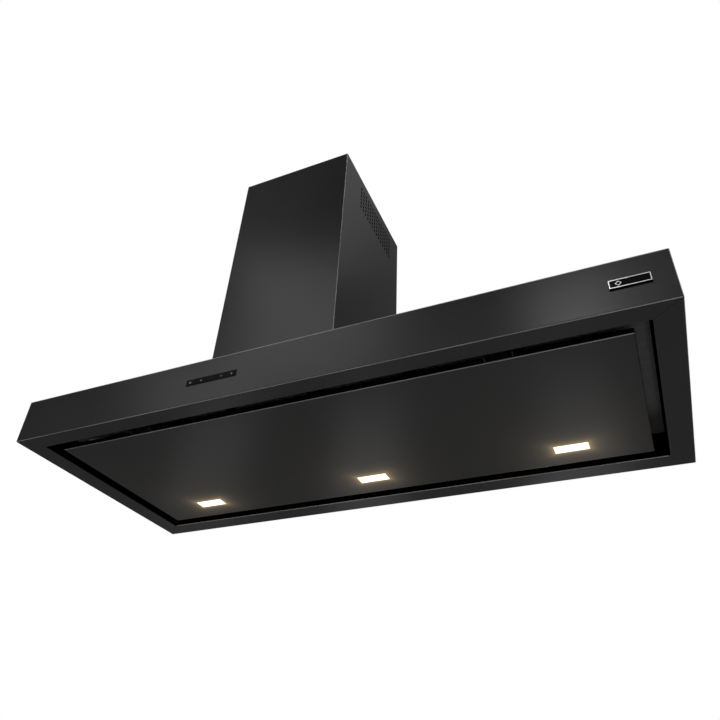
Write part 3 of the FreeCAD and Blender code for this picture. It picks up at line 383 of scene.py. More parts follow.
# The lip values place the painted shade on the opening's upright walls.
lip_height = (0.0020, 0.0035)
lip_reach = (0.0004, 0.0010)
lip_end = 0.003
top_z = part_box("canopy_front")[1].z


def joint_distance(along, across, open_across):
    """Distance from the line between a corner's two bend centres, in the ground plane."""
    inner = Vector((open_half_length - bend, open_across - bend))
    outer = Vector((half_length - bend, half_depth - bend))
    line = (outer - inner).normalized()
    return abs((along - inner.x) * -line.y + (across - inner.y) * line.x)


def nearest_fold(end, side, level):
    """How far a point is from the nearest edge of a box: the middle of three distances."""
    return end.least(side).most(end.most(side).least(level))


def canopy_sheet(name, grain):
    finish = Finish(name)
    x, y, z = finish.axes()
    along = abs(x - canopy_x)
    fold = nearest_fold(abs(along - half_length), abs(abs(y) - half_depth),
                        abs(z - rim_z).least(abs(z - top_z)))
    # The rear opening's edge gets the painted fold highlight too.
    rear_lip = abs(y - open_rear).most(abs(z - rim_z)).most(
        along.ramp(open_half_length - lip_end, open_half_length))
    colour, roughness, height = coat_parts(finish, grain, fold.least(rear_lip))
    # A metre is added on the other side, so that each joint draws only its own corners.
    is_rear = y.ramp(-corner_fade, corner_fade)
    front = joint_distance(along, y * -1.0, open_front) + is_rear
    rear = joint_distance(along, y, open_rear) + (1 - is_rear)
    line = 1 - front.least(rear).ramp(joint_half_width, 2.5 * joint_half_width)
    above_rim = z - rim_z
    line = line * (1 - above_rim.ramp(*joint_height))
    colour = finish.blend(line * joint_share, colour, joint_tone)
    normal = finish.bump(height - line * joint_bump, coat_skin_height)
    # Painted shade: the upright walls of the opening, above the rim's bend, are mixed with a dull
    # near-black.
    beyond = ((along - open_half_length).ramp(*lip_reach)
              .most((y * -1.0 - open_front).ramp(*lip_reach))
              .most((y - open_rear).ramp(*lip_reach)))
    lip_shade = (1 - beyond) * above_rim.ramp(*lip_height)
    return finish.close(lip_shade, Base_Color=colour, Roughness=roughness + line * 0.2,
                        Normal=normal, Specular_IOR_Level=coat_specular)


canopy_long_coat = canopy_sheet("canopy_long_coat", along_x)
canopy_short_coat = canopy_sheet("canopy_short_coat", along_y)

# %% [markdown]
# ## Lamps and the glow round them
#
# Each lamp is a frosted strip in a thin frame, flush with the panel. Its light grazes
# the coat and the frame and leaves a warm glow that fades within a few centimetres.
# Real bounces of such flat light need very many samples, so the glow is an emission
# colour that depends on the distance from the strip's rectangle, which the export can
# bake. It stays on the underside: the panel's upright edges see nothing of a lamp.

# %% Distance from the nearest lamp
lamp_low, lamp_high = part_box("led_diffusers")
lamp_length = 0.0618
lamp_depth = lamp_high.y - lamp_low.y
lamp_y = (lamp_low.y + lamp_high.y) / 2
lamp_x = [lamp_low.x + lamp_length / 2, (lamp_low.x + lamp_high.x) / 2,
          lamp_high.x - lamp_length / 2]
glow_reach = 0.012
glow_height = (0.0003, 0.0009)
glow_colour = (0.330, 0.245, 0.145, 1.0)
under_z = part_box("suction_panel")[0].z
black = (0.0, 0.0, 0.0, 1.0)
print("lamps at x", [round(x, 3) for x in lamp_x], "y", round(lamp_y, 3))


def lamp_offsets(finish):
    """How far a point lies from the nearest lamp's centre, along x and along y."""
    x, y, z = finish.axes()
    along = abs(x - lamp_x[0])
    for centre in lamp_x[1:]:
        along = along.least(abs(x - centre))
    return along, y - lamp_y


def glowing(finish):
    """The glow round a lamp, on the panel's underside, as a colour for the emission."""
    along, across = lamp_offsets(finish)
    beside = (along - lamp_length / 2).most(0.0)
    ahead = (abs(across) - lamp_depth / 2).most(0.0)
    away = (beside ** 2.0 + ahead ** 2.0) ** 0.5
    x, y, z = finish.axes()
    under = 1 - (z - under_z).ramp(*glow_height)
    return finish.blend((1.0 + away / glow_reach) ** -2.0 * under, black, glow_colour)


# %% Panel coat
# Where the painted shade on the panel's upright side edges lies.
side_edge = (0.0003, 0.0006)
side_height = (0.0010, 0.0020)


def panel_sheet(name):
    finish = Finish(name)
    low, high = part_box("suction_panel")
    x, y, z = finish.axes()
    fold = abs(y - low.y).most(abs(z - low.z))
    colour, roughness, height = coat_parts(finish, along_x, fold)
    # Painted shade: the panel's upright side edges are mixed with a dull near-black.
    side = abs(abs(x - canopy_x) - (high.x - low.x) / 2)
    edge_shade = (1 - side.ramp(*side_edge)) * (z - low.z).ramp(*side_height)
    return finish.close(edge_shade, Base_Color=colour, Roughness=roughness,
                        Normal=finish.bump(height, coat_skin_height),
                        Specular_IOR_Level=coat_specular,
                        Emission_Color=glowing(finish), Emission_Strength=1.0)


panel_coat = panel_sheet("panel_coat")

# %% Lamp frame and lamp strip
strip_middle = (3.0, 2.75, 2.35, 1.0)
strip_edge = (1.5, 1.15, 0.75, 1.0)
strip_end_fade = 0.006
strip_side_fade = 0.005


def lamp_frame(name):
    finish = Finish(name)
    turning = finish.noise(60.0, detail=3.0, grain=(1.0, 8.0, 8.0))
    colour = finish.blend(turning, grey(0.020), grey(0.035, 0.05))
    roughness = turning.ramp(0.2, 0.8, 0.28, 0.38)
    normal = finish.bump(turning, 0.00002)
    return finish.close(Base_Color=colour, Metallic=0.6, Roughness=roughness, Normal=normal,
                        Emission_Color=glowing(finish), Emission_Strength=1.0)


def lamp_strip(name):
    finish = Finish(name)
    along, across = lamp_offsets(finish)
    from_end = (lamp_length / 2 - along) / strip_end_fade
    from_side = (lamp_depth / 2 - abs(across)) / strip_side_fade
    edge = 1 - from_end.least(from_side).ramp(0.0, 1.0)
    frost = finish.noise(1500.0, detail=1.0)
    colour = finish.blend(edge, strip_middle, strip_edge)
    return finish.close(Base_Color=finish.blend(frost, grey(0.80), grey(0.86)),
                        Roughness=0.45 + frost * 0.1, Normal=finish.bump(frost, 0.00002),
                        Emission_Color=colour, Emission_Strength=1.0)


bezel_metal = lamp_frame("bezel_metal")
lamp_lens = lamp_strip("lamp_lens")

# %% [markdown]
# ## Metals inside the hood
#
# Behind the black sheet the hood is plain workshop metal: galvanised posts and
# brackets with their crystal spangle, passivated screws, aluminium filters, a lacquered
# motor. A Voronoi texture gives spangle its flat crystals, each with its own grey.
# Rolled aluminium gets stretched noise instead, for it has a drawing direction.

# %% Workshop metals
def galvanised(name):
    finish = Finish(name)
    crystal = finish.cells(130.0).out("Color")
    spangle = finish.node("ShaderNodeSeparateColor", {}, {"Color": crystal})
    dust = finish.noise(9.0, detail=4.0)
    tone = finish.blend(spangle, grey(0.44), grey(0.62))
    colour = finish.blend(dust.ramp(0.35, 0.75, 0.0, 0.5), tone, grey(0.36, 0.03))
    roughness = 0.30 + spangle * 0.14 + dust * 0.10
    return finish.close(Base_Color=colour, Metallic=1.0, Roughness=roughness,
                        Normal=finish.bump(spangle + dust, 0.00004))


def bright_zinc(name):
    finish = Finish(name)
    turned = finish.noise(240.0, detail=3.0)
    haze = finish.noise(45.0, detail=2.0)
    colour = finish.blend(haze, grey(0.50), (0.62, 0.60, 0.52, 1.0))
    return finish.close(Base_Color=colour, Metallic=1.0, Roughness=0.22 + turned * 0.16,
                        Normal=finish.bump(turned, 0.00002))


def rolled_aluminium(name, grain):
    finish = Finish(name)
    drawn = finish.noise(20.0, detail=4.0, grain=grain, rough=0.7)
    cloud = finish.noise(6.0)
    colour = finish.blend(cloud, grey(0.74), grey(0.86))
    return finish.close(Base_Color=colour, Metallic=1.0, Roughness=0.32 + drawn * 0.20,
                        Normal=finish.bump(drawn, 0.00003))


def lacquered_iron(name):
    finish = Finish(name)
    peel = finish.noise(320.0, detail=2.0)
    wear = finish.noise(18.0, detail=5.0, rough=0.7).ramp(0.58, 0.72)
    colour = finish.blend(wear * 0.6, grey(0.10, -0.02), grey(0.24))
    return finish.close(Base_Color=colour, Metallic=wear * 0.7, Roughness=0.38 + peel * 0.15,
                        Normal=finish.bump(peel - wear * 0.5, 0.00008))


def black_oxide(name):
    finish = Finish(name)
    bloom = finish.noise(160.0, detail=4.0)
    colour = finish.blend(bloom, grey(0.012), grey(0.035, 0.08))
    return finish.close(Base_Color=colour, Metallic=0.5, Roughness=0.45 + bloom * 0.15,
                        Normal=finish.bump(bloom, 0.00003))


zinc_sheet = galvanised("zinc_sheet")
black_fitting = black_oxide("black_fitting")
screw_zinc = bright_zinc("screw_zinc")
filter_metal = rolled_aluminium("filter_metal", along_x)
motor_lacquer = lacquered_iron("motor_lacquer")

# %% [markdown]
# ## Plastics, rubber and the control board
#
# Moulded parts carry the texture of their mould: a fine pebble on the housings, a near
# mirror on the keys and the badge, where dust and faint swirls are all that break the
# gloss. The board is lacquered glass fibre with copper tracks, drawn with a brick
# texture whose mortar stands for the tracks.

# %% Plastics
def pebbled_plastic(name, level, roughness, pebble):
    finish = Finish(name)
    pebbles = finish.cells(pebble, "SMOOTH_F1")
    lighter_share = finish.noise(12.0, detail=3.0)
    colour = finish.blend(lighter_share, grey(level * 0.8), grey(level * 1.25))
    return finish.close(Base_Color=colour, Roughness=roughness + lighter_share * 0.12,
                        Normal=finish.bump(pebbles, 0.00006))


def gloss_moulding(name):
    finish = Finish(name)
    swirl = finish.noise(70.0, detail=5.0, grain=(1.0, 3.0, 3.0))
    dust = finish.noise(1400.0).ramp(0.70, 0.78)
    colour = finish.blend(dust * 0.25, grey(0.0035), grey(0.05))
    return finish.close(Base_Color=colour, Roughness=0.10 + swirl * 0.08 + dust * 0.3,
                        Normal=finish.bump(swirl, 0.000008), Specular_IOR_Level=0.05)


def chromed(name):
    finish = Finish(name)
    haze = finish.noise(90.0, detail=3.0)
    colour = finish.blend(haze, grey(0.80), grey(0.90))
    return finish.close(Base_Color=colour, Metallic=1.0, Roughness=0.12 + haze * 0.10,
                        Normal=finish.bump(haze, 0.00001))


def circuit_board(name):
    finish = Finish(name)
    track = finish.node("ShaderNodeTexBrick", {"offset": 0.3}, {
        "Vector": finish.place, "Scale": 90.0, "Mortar Size": 0.03,
        "Color1": (0.010, 0.075, 0.035, 1.0), "Color2": (0.008, 0.060, 0.028, 1.0),
        "Mortar": (0.035, 0.160, 0.070, 1.0)})
    weave = finish.noise(700.0)
    return finish.close(Base_Color=track, Roughness=0.25 + weave * 0.15,
                        Normal=finish.bump(track.out("Fac"), 0.00003))


housing_plastic = pebbled_plastic("housing_plastic", 0.020, 0.45, 900.0)
bush_rubber = pebbled_plastic("bush_rubber", 0.012, 0.72, 500.0)
gloss_black = gloss_moulding("gloss_black")
trim_chrome = chromed("trim_chrome")
board_lacquer = circuit_board("board_lacquer")

# %% Put each finish on its CAD nodes
def paint(material, *names):
    """Gives CAD nodes a material through their objects' own material slots."""
    for name in names:
        for material_slot in nodes[name].material_slots:
            material_slot.link = "OBJECT"
            material_slot.material = material
    print(material.name, "on", len(names), "nodes")


paint(upper_chimney_coat, "upper_chimney_cover", "upper_chimney_rear")
paint(lower_chimney_coat, "lower_chimney_cover", "lower_chimney_rear")
paint(canopy_long_coat, "canopy_front", "canopy_rear")
paint(canopy_short_coat, "canopy_left", "canopy_right")
paint(deck_coat, "canopy_top", "filter_deck")
paint(panel_coat, "suction_panel")
paint(bezel_metal, "led_bezels")
paint(lamp_lens, "led_diffusers")
paint(zinc_sheet, "ceiling_plate", "upper_uprights", "lower_uprights", "frame_base",
      "load_rails", "motor_box", "motor_bracket", "hinge_brackets", "filter_hooks",
      "impeller")
paint(screw_zinc, "upper_chimney_screws", "lower_chimney_screws", "deck_screws",
      "upright_bolts", "frame_bolts", "hinge_pins", "motor_shaft",
      "flap_pin", "filter_latch_1", "filter_latch_2", "filter_latch_3")
paint(black_fitting, "panel_strikers", "latch_keepers")
paint(filter_metal, "grease_filter_1", "grease_filter_2", "grease_filter_3", "led_housings")
paint(motor_lacquer, "motor")
paint(housing_plastic, "scroll_left", "scroll_right", "duct_collar", "flap_front",
      "flap_rear", "electronics_box", "cable_gland", "control_housing", "panel_catches")
paint(bush_rubber, "motor_bushes")
paint(gloss_black, "control_bezel", "badge_plate", "control_key_1", "control_key_2",
      "control_key_3", "control_key_4", "control_key_5")
paint(trim_chrome, "badge_frame")
paint(board_lacquer, "control_board")

# %% [markdown]
# ## Screws with a cross recess and a thread
#
# The CAD screws are plain stepped rods, right in size and place but without a recess
# or a thread. Modelling one good screw and copying it by hand would work, yet the
# places already exist in the CAD mesh, so a Geometry Nodes tree builds one screw from
# its sizes and sets it on a point for each CAD screw, turned the way that one is
# turned.

# %% A Geometry Nodes tree under construction
class Recipe(NodeMaker):
    """A Geometry Nodes tree with named inputs."""

    def __init__(self, name):
        self.tree = bpy.data.node_groups.new(name, "GeometryNodeTree")
        self.entry = self.tree.nodes.new("NodeGroupInput")
        self.sockets = {}
        self.shape = self.input("Points", "Geometry")

    def input(self, name, kind):
        kind = "NodeSocket" + kind
        made = self.tree.interface.new_socket(name=name, in_out="INPUT", socket_type=kind)
        self.sockets[name] = made.identifier
        return Wire(self, self.entry.outputs[name])

    def close(self, shape, material):
        """Realizes the instances, sets their material and ends the tree."""
        self.tree.interface.new_socket(name="Result", in_out="OUTPUT",
                                       socket_type="NodeSocketGeometry")
        real = self.node("GeometryNodeRealizeInstances", {}, {"Geometry": shape})
        coated = self.node("GeometryNodeSetMaterial", {}, {"Geometry": real, "Material": material})
        self.node("NodeGroupOutput", {}, {"Result": coated})

    def joined(self, *shapes):
        made = self.node("GeometryNodeJoinGeometry", {}, {})
        for shape in shapes:
            self.tree.links.new(shape.socket, made.socket.node.inputs["Geometry"])
        return made

    def moved(self, shape, place=(0, 0, 0), turn=(0, 0, 0), scale=(1, 1, 1)):
        return self.node("GeometryNodeTransform", {}, {
            "Geometry": shape, "Translation": place, "Rotation": turn, "Scale": scale})

    def vector(self, x=0.0, y=0.0, z=0.0):
        return self.node("ShaderNodeCombineXYZ", {}, {"X": x, "Y": y, "Z": z})


def grow(recipe, mesh, name, values):
    """Runs a recipe on a mesh and returns a new object that holds the plain result."""
    seed = bpy.data.objects.new(name + "_seed", mesh)
    bpy.context.scene.collection.objects.link(seed)
    step = seed.modifiers.new("grow", "NODES")
    step.node_group = recipe.tree
    for key, value in values.items():
        step[recipe.sockets[key]] = value
    graph = bpy.context.evaluated_depsgraph_get()
    made = bpy.data.meshes.new_from_object(seed.evaluated_get(graph))
    seed.modifiers.remove(step)
    bpy.data.objects.remove(seed)
    piece = bpy.data.objects.new(name, made)
    bpy.context.scene.collection.objects.link(piece)
    print(name, "has", len(made.polygons), "faces")
    return piece


# %% The screw recipe
# Shares of the head's height, the crown's width, the recess's length, the shank's
# radius and the shank's length. The second groove is cut a little deeper than the
# first, so that no two cuts end in one plane.
drum_share = 0.7
crown_scale = 0.72
groove_share = 0.26
groove_levels = (0.95, 0.93)
core_share = 0.84
ridge_share = 0.12
thread_run = 0.94


def screw_recipe(name):
    recipe = Recipe(name)
    sides = recipe.input("Head sides", "Int")
    head = recipe.input("Head radius", "Float")
    height = recipe.input("Head height", "Float")
    shank = recipe.input("Shank radius", "Float")
    length = recipe.input("Shank length", "Float")
    pitch = recipe.input("Thread pitch", "Float")
    recess = recipe.input("Recess length", "Float")
    material = recipe.input("Material", "Material")

    drum = recipe.node("GeometryNodeMeshCylinder", {"fill_type": "NGON"}, {
        "Vertices": sides, "Side Segments": 1, "Radius": head, "Depth": height * drum_share})
    crown = recipe.node("GeometryNodeExtrudeMesh", {"mode": "FACES"}, {
        "Mesh": drum, "Selection": drum.out("Top"), "Offset Scale": height * (1 - drum_share)})
    domed = recipe.node("GeometryNodeScaleElements", {}, {
        "Geometry": crown, "Selection": crown.out("Top"), "Scale": crown_scale})
    cut = recipe.moved(domed, recipe.vector(z=height * drum_share / 2))
    groove = recipe.node("GeometryNodeMeshCube", {}, {
        "Size": recipe.vector(recess, recess * groove_share, height)})
    for quarter, level in enumerate(groove_levels):
        turned_groove = recipe.moved(groove, recipe.vector(z=height * level),
                                     (0, 0, quarter * math.pi / 2))
        cut = recipe.node("GeometryNodeMeshBoolean", {"operation": "DIFFERENCE"}, {
            "Mesh 1": cut, "Mesh 2": turned_groove})

    core = recipe.node("GeometryNodeMeshCylinder", {"fill_type": "NGON"}, {
        "Vertices": 12, "Radius": shank * core_share, "Depth": length})
    core = recipe.moved(core, recipe.vector(z=length * -0.5))
    helix = recipe.node("GeometryNodeCurveSpiral", {}, {
        "Resolution": 10, "Rotations": length / pitch, "Height": length * thread_run,
        "Start Radius": shank * (1 - ridge_share), "End Radius": shank * (1 - ridge_share),
        "Reverse": False})
    ridge = recipe.node("GeometryNodeCurvePrimitiveCircle", {}, {
        "Resolution": 3, "Radius": shank * ridge_share})
    thread = recipe.node("GeometryNodeCurveToMesh", {}, {
        "Curve": helix, "Profile Curve": ridge, "Fill Caps": True})
    thread = recipe.moved(thread, recipe.vector(z=length * -(1 + thread_run) / 2))

    one = recipe.joined(cut, core, thread)
    turn = recipe.node("GeometryNodeInputNamedAttribute", {"data_type": "FLOAT_VECTOR"},
                       {"Name": "turn"})
    many = recipe.node("GeometryNodeInstanceOnPoints", {}, {
        "Points": recipe.shape, "Instance": one, "Rotation": turn})
    recipe.close(many, material)
    return recipe


screws = screw_recipe("screws")

# %% Find each CAD screw: where it is seated and which way its head faces
def islands(node):
    """The loose solids of a CAD node, each as a list of points."""
    build = bmesh.new()
    build.from_mesh(nodes[node].data)
    bmesh.ops.remove_doubles(build, verts=build.verts, dist=1e-6)
    waiting = set(build.verts)
    found = []
    while waiting:
        front = [waiting.pop()]
        group = []
        while front:
            vert = front.pop()
            group.append(vert.co.copy())
            near = [e.other_vert(vert) for e in vert.link_edges]
            fresh = [v for v in near if v in waiting]
            waiting.difference_update(fresh)
            front.extend(fresh)
        found.append(group)
    build.free()
    return sorted(found, key=lambda group: tuple(round(c, 5) for c in sum(group, Vector())))


def seat_of(group, head_height):
    """The point under a screw's head, and the direction that its head faces."""
    low = Vector(min(p[i] for p in group) for i in range(3))
    high = Vector(max(p[i] for p in group) for i in range(3))
    middle = (low + high) / 2
    size = high - low
    odd = max(range(3), key=lambda i: abs(size[i] - sorted(size)[1]))
    others = [i for i in range(3) if i != odd]
    wide = max(size[i] for i in others) / 2
    outer = [p for p in group if max(abs(p[i] - middle[i]) for i in others) > 0.95 * wide]
    ends = [abs(sum(p[odd] for p in outer) / len(outer) - end[odd]) for end in (low, high)]
    facing = Vector((0, 0, 0))
    facing[odd] = 1.0 if ends[1] < ends[0] else -1.0
    seat = middle.copy()
    seat[odd] = (high if facing[odd] > 0 else low)[odd] - facing[odd] * head_height
    return seat, facing


def seats(name, places):
    """A mesh of points with the turn that lays a screw's axis along each direction."""
    mesh = bpy.data.meshes.new(name)
    mesh.from_pydata([place for place, facing in places], [], [])
    turn = mesh.attributes.new("turn", "FLOAT_VECTOR", "POINT")
    for index, (place, facing) in enumerate(places):
        turn.data[index].vector = facing.to_track_quat("Z", "Y").to_euler()
    return mesh


# %% Set a screw in place of each CAD screw
screw_sizes = {"Head sides": 20, "Head radius": 0.0034, "Head height": 0.0014,
               "Shank radius": 0.00175, "Shank length": 0.0040, "Thread pitch": 0.0010,
               "Recess length": 0.0040, "Material": screw_zinc}
for node, body in (("upper_chimney_screws", "ceiling_frame"), ("lower_chimney_screws", "hood"),
                   ("deck_screws", "hood")):
    places = [seat_of(group, screw_sizes["Head height"]) for group in islands(node)]
    piece = grow(screws, seats(node, places), "cross_" + node, screw_sizes)
    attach(piece, body)
    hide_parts(node)

# %% [markdown]
# ## Expanded mesh in the grease filters
#
# A grease filter is a stack of expanded aluminium: sheet that is slit and pulled until
# the slits open into diamonds. A texture on a flat plate would lose its outline when
# seen from the side, so each cell is a real diamond of thin strand, and Geometry Nodes
# set them on two interleaved grids. Every cell is tipped a little differently, with
# one fixed seed, which is what makes such a mesh sparkle.

# %% The filter mesh recipe
def mesh_recipe(name):
    recipe = Recipe(name)
    width = recipe.input("Width", "Float")
    depth = recipe.input("Depth", "Float")
    long_way = recipe.input("Cell length", "Float")
    short_way = recipe.input("Cell width", "Float")
    strand = recipe.input("Strand", "Float")
    tip = recipe.input("Tip", "Float")
    seed = recipe.input("Seed", "Int")
    material = recipe.input("Material", "Material")

    def lattice(shift):
        grid = recipe.node("GeometryNodeMeshGrid", {}, {
            "Size X": width, "Size Y": depth,
            "Vertices X": width / long_way, "Vertices Y": depth / short_way})
        return recipe.moved(grid, shift)

    half_cell = recipe.vector(long_way * 0.5, short_way * 0.5)
    both = recipe.joined(lattice((0, 0, 0)), lattice(half_cell))
    diamond = recipe.node("GeometryNodeCurvePrimitiveQuadrilateral", {"mode": "KITE"}, {
        "Width": long_way, "Bottom Height": short_way * 0.5, "Top Height": short_way * 0.5})
    wire = recipe.node("GeometryNodeCurvePrimitiveCircle", {}, {"Resolution": 3, "Radius": strand})
    cell = recipe.node("GeometryNodeCurveToMesh", {}, {
        "Curve": diamond, "Profile Curve": wire, "Fill Caps": False})
    tilt = recipe.node("FunctionNodeRandomValue", {"data_type": "FLOAT_VECTOR"}, {
        "Min": recipe.vector(tip * -1.0, tip * -1.0), "Max": recipe.vector(tip, tip), "Seed": seed})
    many = recipe.node("GeometryNodeInstanceOnPoints", {}, {
        "Points": both, "Instance": cell, "Rotation": tilt})
    placed = recipe.node("GeometryNodeInstanceOnPoints", {}, {
        "Points": recipe.shape, "Instance": many})
    recipe.close(placed, material)
    return recipe


expanded_mesh = mesh_recipe("expanded_mesh")

# %% Lay a mesh in the window of each filter
filter_edge = 0.012
filter_wall = 0.0015
strand_radius = 0.00042
mesh_inset = Vector((0.018, 0.009))
for number in (1, 2, 3):
    low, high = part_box("grease_filter_%d" % number)
    centre = (low + high) / 2
    bed = Vector((centre.x, centre.y, low.z + filter_wall - 2 * strand_radius))
    window = high - low - 2 * Vector((filter_edge, filter_edge, 0))
    sizes = {"Width": window.x - mesh_inset.x, "Depth": window.y - mesh_inset.y,
             "Cell length": 0.012, "Cell width": 0.0062, "Strand": strand_radius,
             "Tip": 0.10, "Seed": number, "Material": filter_metal}
    start = bpy.data.meshes.new("filter_centre")
    start.from_pydata([bed], [], [])
    piece = grow(expanded_mesh, start, "filter_mesh_%d" % number, sizes)
    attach(piece, "hood")

# %% [markdown]
# ## Printed marks
#
# The keys carry small light prints, and the badge a maker's sign, here a plain open
# diamond. A print is a layer of ink with an outline and a thickness, so each one is
# a thin flat shape with its own edge: rings and bars are cut as outlines and raised by
# a few hundredths of a millimetre. The badge's bright outline is made the same way,
# from four mitred bars, because the CAD frame round the badge is wider than the line
# that shows.

# %% Flat shapes for the prints
def ring(sides, outer, inner, start=0.0, sweep=2 * math.pi):
    """Quads of a flat ring, or of a part of one, as corner lists in its own plane."""
    turns = [start + sweep * i / sides for i in range(sides + 1)]
    spots = [(math.sin(t), math.cos(t)) for t in turns]
    return [[(inner * a[0], inner * a[1]), (outer * a[0], outer * a[1]),
             (outer * b[0], outer * b[1]), (inner * b[0], inner * b[1])]
            for a, b in zip(spots, spots[1:])]


def bar(width, height, x=0.0, z=0.0):
    half_x, half_z = width / 2, height / 2
    return [[(x - half_x, z - half_z), (x - half_x, z + half_z),
             (x + half_x, z + half_z), (x + half_x, z - half_z)]]


def rim(width, height, line):
    """Four mitred quads of a rectangular outline."""
    turns = [(-1, -1), (-1, 1), (1, 1), (1, -1)]
    outer = [(a * width / 2, b * height / 2) for a, b in turns]
    inner = [(a * (width / 2 - line), b * (height / 2 - line)) for a, b in turns]
    return [[inner[i - 1], outer[i - 1], outer[i], inner[i]] for i in range(4)]


def print_on(name, place, quads, thickness, material):
    """Raises flat quads by a print's thickness, facing the front, as closed shapes."""
    build = bmesh.new()
    for quad in quads:
        build.faces.new([build.verts.new(place + Vector((x, 0, z))) for x, z in quad])
    bmesh.ops.remove_doubles(build, verts=build.verts, dist=1e-6)
    raised = bmesh.ops.extrude_face_region(build, geom=build.faces[:])
    moved = [v for v in raised["geom"] if isinstance(v, bmesh.types.BMVert)]
    bmesh.ops.translate(build, verts=moved, vec=(0, -thickness, 0))
    bmesh.ops.recalc_face_normals(build, faces=build.faces)
    mesh = bpy.data.meshes.new(name)
    build.to_mesh(mesh)
    build.free()
    mesh.materials.append(material)
    piece = bpy.data.objects.new(name, mesh)
    bpy.context.scene.collection.objects.link(piece)
    return piece


# %% Ink, lit faintly from behind
def lit_ink(name, level, lit):
    finish = Finish(name)
    grainy = finish.noise(2500.0)
    colour = finish.blend(grainy, grey(level * 0.85), grey(level))
    return finish.close(Base_Color=colour, Roughness=0.4 + grainy * 0.1,
                        Normal=finish.bump(grainy, 0.00001),
                        Emission_Color=finish.blend(grainy, grey(lit * 0.8), grey(lit)),
                        Emission_Strength=1.0)


key_ink = lit_ink("key_ink", 0.60, 0.28)
print_depth = 0.00005

# %% Marks on the keys: on and off, less, more, lamp
gap = math.radians(35)
on_off = ring(14, 0.00165, 0.00110, gap, 2 * math.pi - 2 * gap)
on_off += bar(0.0005, 0.0014, 0, 0.0011)
less = bar(0.0027, 0.0009)
more = [quad for side in (-1, 1) for quad in bar(0.0005, 0.00095, 0, side * 0.000725)]
more += bar(0.0024, 0.0005)
lamp = ring(12, 0.00085, 0.00010)
ray_width = math.radians(18)
for ray in range(6):
    lamp += ring(1, 0.00150, 0.00115, math.radians(60 * ray) - ray_width / 2, ray_width)
marks = {1: (on_off, -0.0028), 2: (less, 0.0), 4: (more, 0.0015), 5: (lamp, 0.0019)}
for number, (quads, aside) in marks.items():
    low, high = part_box("control_key_%d" % number)
    place = Vector(((low.x + high.x) / 2 + aside, low.y, (low.z + high.z) / 2))
    piece = print_on("key_mark_%d" % number, place, quads, print_depth, key_ink)
    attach(piece, "key_%d" % number)

# %% The badge's fine bright outline
low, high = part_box("badge_frame")
outline_width = 0.0011
place = Vector(((low.x + high.x) / 2, high.y, (low.z + high.z) / 2))
outline = rim(high.x - low.x, high.z - low.z, outline_width)
piece = print_on("badge_outline", place, outline, high.y - low.y, trim_chrome)
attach(piece, "hood")
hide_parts("badge_frame")

# %% An open diamond on the badge
sign_share = 0.227
sign_depth = 0.0003
place = Vector((low.x + sign_share * (high.x - low.x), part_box("badge_plate")[0].y,
                (low.z + high.z) / 2))
sign = ring(4, 0.0044, 0.0034)
piece = print_on("badge_sign", place, sign, sign_depth, trim_chrome)
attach(piece, "hood")

# %% [markdown]
# ## Floor
#
# The room is kept dim, because black sheet shows whatever it mirrors, and a bright floor
# would wash out the whole underside. The floor itself should still look pale, so it
# glows a little for rays that come straight from the camera and for no others.

# %% Floor
floor_level = -2.30
floor_side = 14.0


def pale_floor(name):
    finish = Finish(name)
    cloud = finish.noise(1.2, detail=3.0)
    colour = finish.blend(cloud, grey(0.70), grey(0.74))
    direct = finish.node("ShaderNodeLightPath", {}, {}).out("Is Camera Ray")
    return finish.close(Base_Color=colour, Roughness=0.75 + cloud * 0.1,
                        Specular_IOR_Level=0.2, Emission_Strength=direct,
                        Emission_Color=finish.blend(cloud, grey(0.50), grey(0.53)))


floor = bpy.data.objects.new("floor", bpy.data.meshes.new("floor"))
build = bmesh.new()
bmesh.ops.create_grid(build, x_segments=1, y_segments=1, size=floor_side / 2)
bmesh.ops.translate(build, verts=build.verts, vec=(0, 0, floor_level))
build.to_mesh(floor.data)
build.free()
bpy.context.scene.collection.objects.link(floor)
floor.data.materials.append(pale_floor("floor_paint"))
floor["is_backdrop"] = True

# %% [markdown]
# ## Light
#
# Black metal has almost no colour of its own, so what the eye reads is the reflection of
# the room. A single large lamp would leave the sheets flat. Five softboxes in front
# draw soft upright bands on the canopy and the chimney, one on the left and two behind
# light the chimney's side and the underside, and four strips behind and below are what
# the panel mirrors. A sheet is so dark that its folds would vanish, so three edge
# lights stand where a flat face mirrors them away from the camera and only a rounded
# fold catches them. All stand on a circle round the hood, so a direction, a size and a
# power are enough to place each one.

# %% Softboxes on a circle round the hood
aim = Vector((0.1, 0.0, -0.45))
light_distance = 3.0


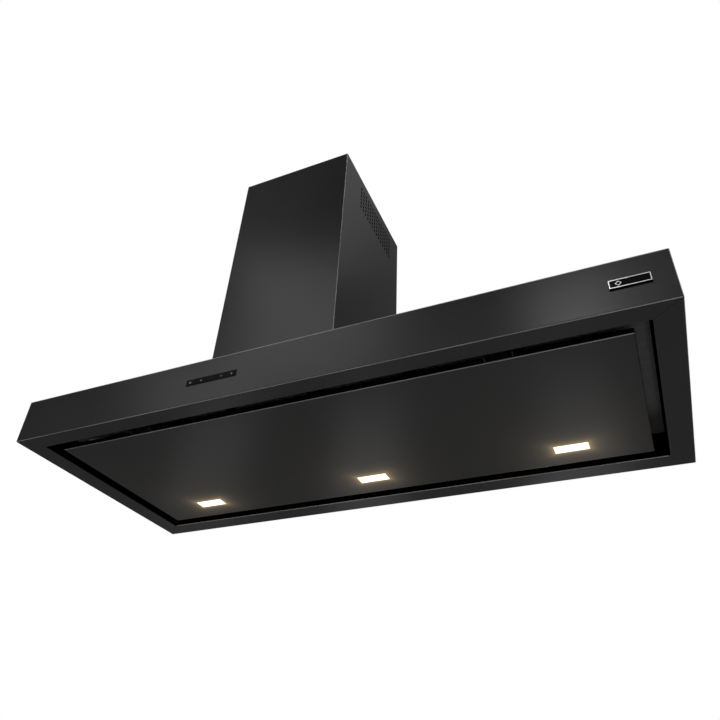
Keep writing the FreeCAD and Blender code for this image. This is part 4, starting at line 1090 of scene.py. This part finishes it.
def softbox(name, azimuth, elevation, width, height, watts):
    """A softbox facing the hood. Azimuth 0 is the front, and 90 the hood's right."""
    turn, rise = math.radians(azimuth), math.radians(elevation)
    away = Vector((math.sin(turn) * math.cos(rise), -math.cos(turn) * math.cos(rise),
                   math.sin(rise)))
    lamp = bpy.data.lights.new(name, "AREA")
    lamp.shape = "RECTANGLE"
    lamp.size = width
    lamp.size_y = height
    lamp.energy = watts
    box = bpy.data.objects.new(name, lamp)
    box.location = aim + away * light_distance
    box.rotation_euler = (-away).to_track_quat("-Z", "Y").to_euler()
    box.visible_camera = False
    bpy.context.scene.collection.objects.link(box)


softbox("front_far_left", -40, 23, 0.6, 0.45, 0.9)
softbox("front_left", -28, 34, 1.0, 1.0, 3.4)
softbox("front_middle", -9, 30, 0.6, 0.45, 0.4)
softbox("front_right", 8, 30, 0.45, 0.45, 2.2)
softbox("front_end", 19, 31, 0.45, 0.45, 0.4)
softbox("side_left", -45, 10, 1.2, 1.2, 0.8)
softbox("rear_high", 135, 56, 1.2, 1.2, 1.0)
softbox("rear_panel", 165, 12, 1.2, 1.2, 15.0)
# Strips behind and below, which the panel mirrors as soft bands.
for name, azimuth, watts in (
        ("strip_right", 174, 0.5), ("strip_middle", 203, 0.5), ("strip_left", 224, 0.35)):
    softbox(name, azimuth, -36, 0.4, 1.3, watts)
softbox("strip_rear", 180, -12, 0.18, 1.05, 1.2)
# Edge lights: mostly the folds answer to them.
softbox("edge_below", -40, -45, 0.8, 0.8, 10.0)
softbox("edge_above", -90, 63, 0.8, 0.8, 14.0)
softbox("edge_corner", 61, 45, 0.8, 0.8, 9.0)

# %% World and picture settings
room_share = 0.13
world = bpy.data.worlds.new("white_room")
world.use_nodes = True
room = world.node_tree
background = room.nodes["Background"]
seen = room.nodes.new("ShaderNodeLightPath")
level = room.nodes.new("ShaderNodeMapRange")
level.inputs["To Min"].default_value = room_share
level.inputs["To Max"].default_value = 1.0
room.links.new(seen.outputs["Is Camera Ray"], level.inputs["Value"])
room.links.new(level.outputs["Result"], background.inputs["Strength"])
background.inputs["Color"].default_value = (1, 1, 1, 1)
bpy.context.scene.world = world
bpy.context.scene.view_settings.view_transform = "Standard"

# %% Sizes
low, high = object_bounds()
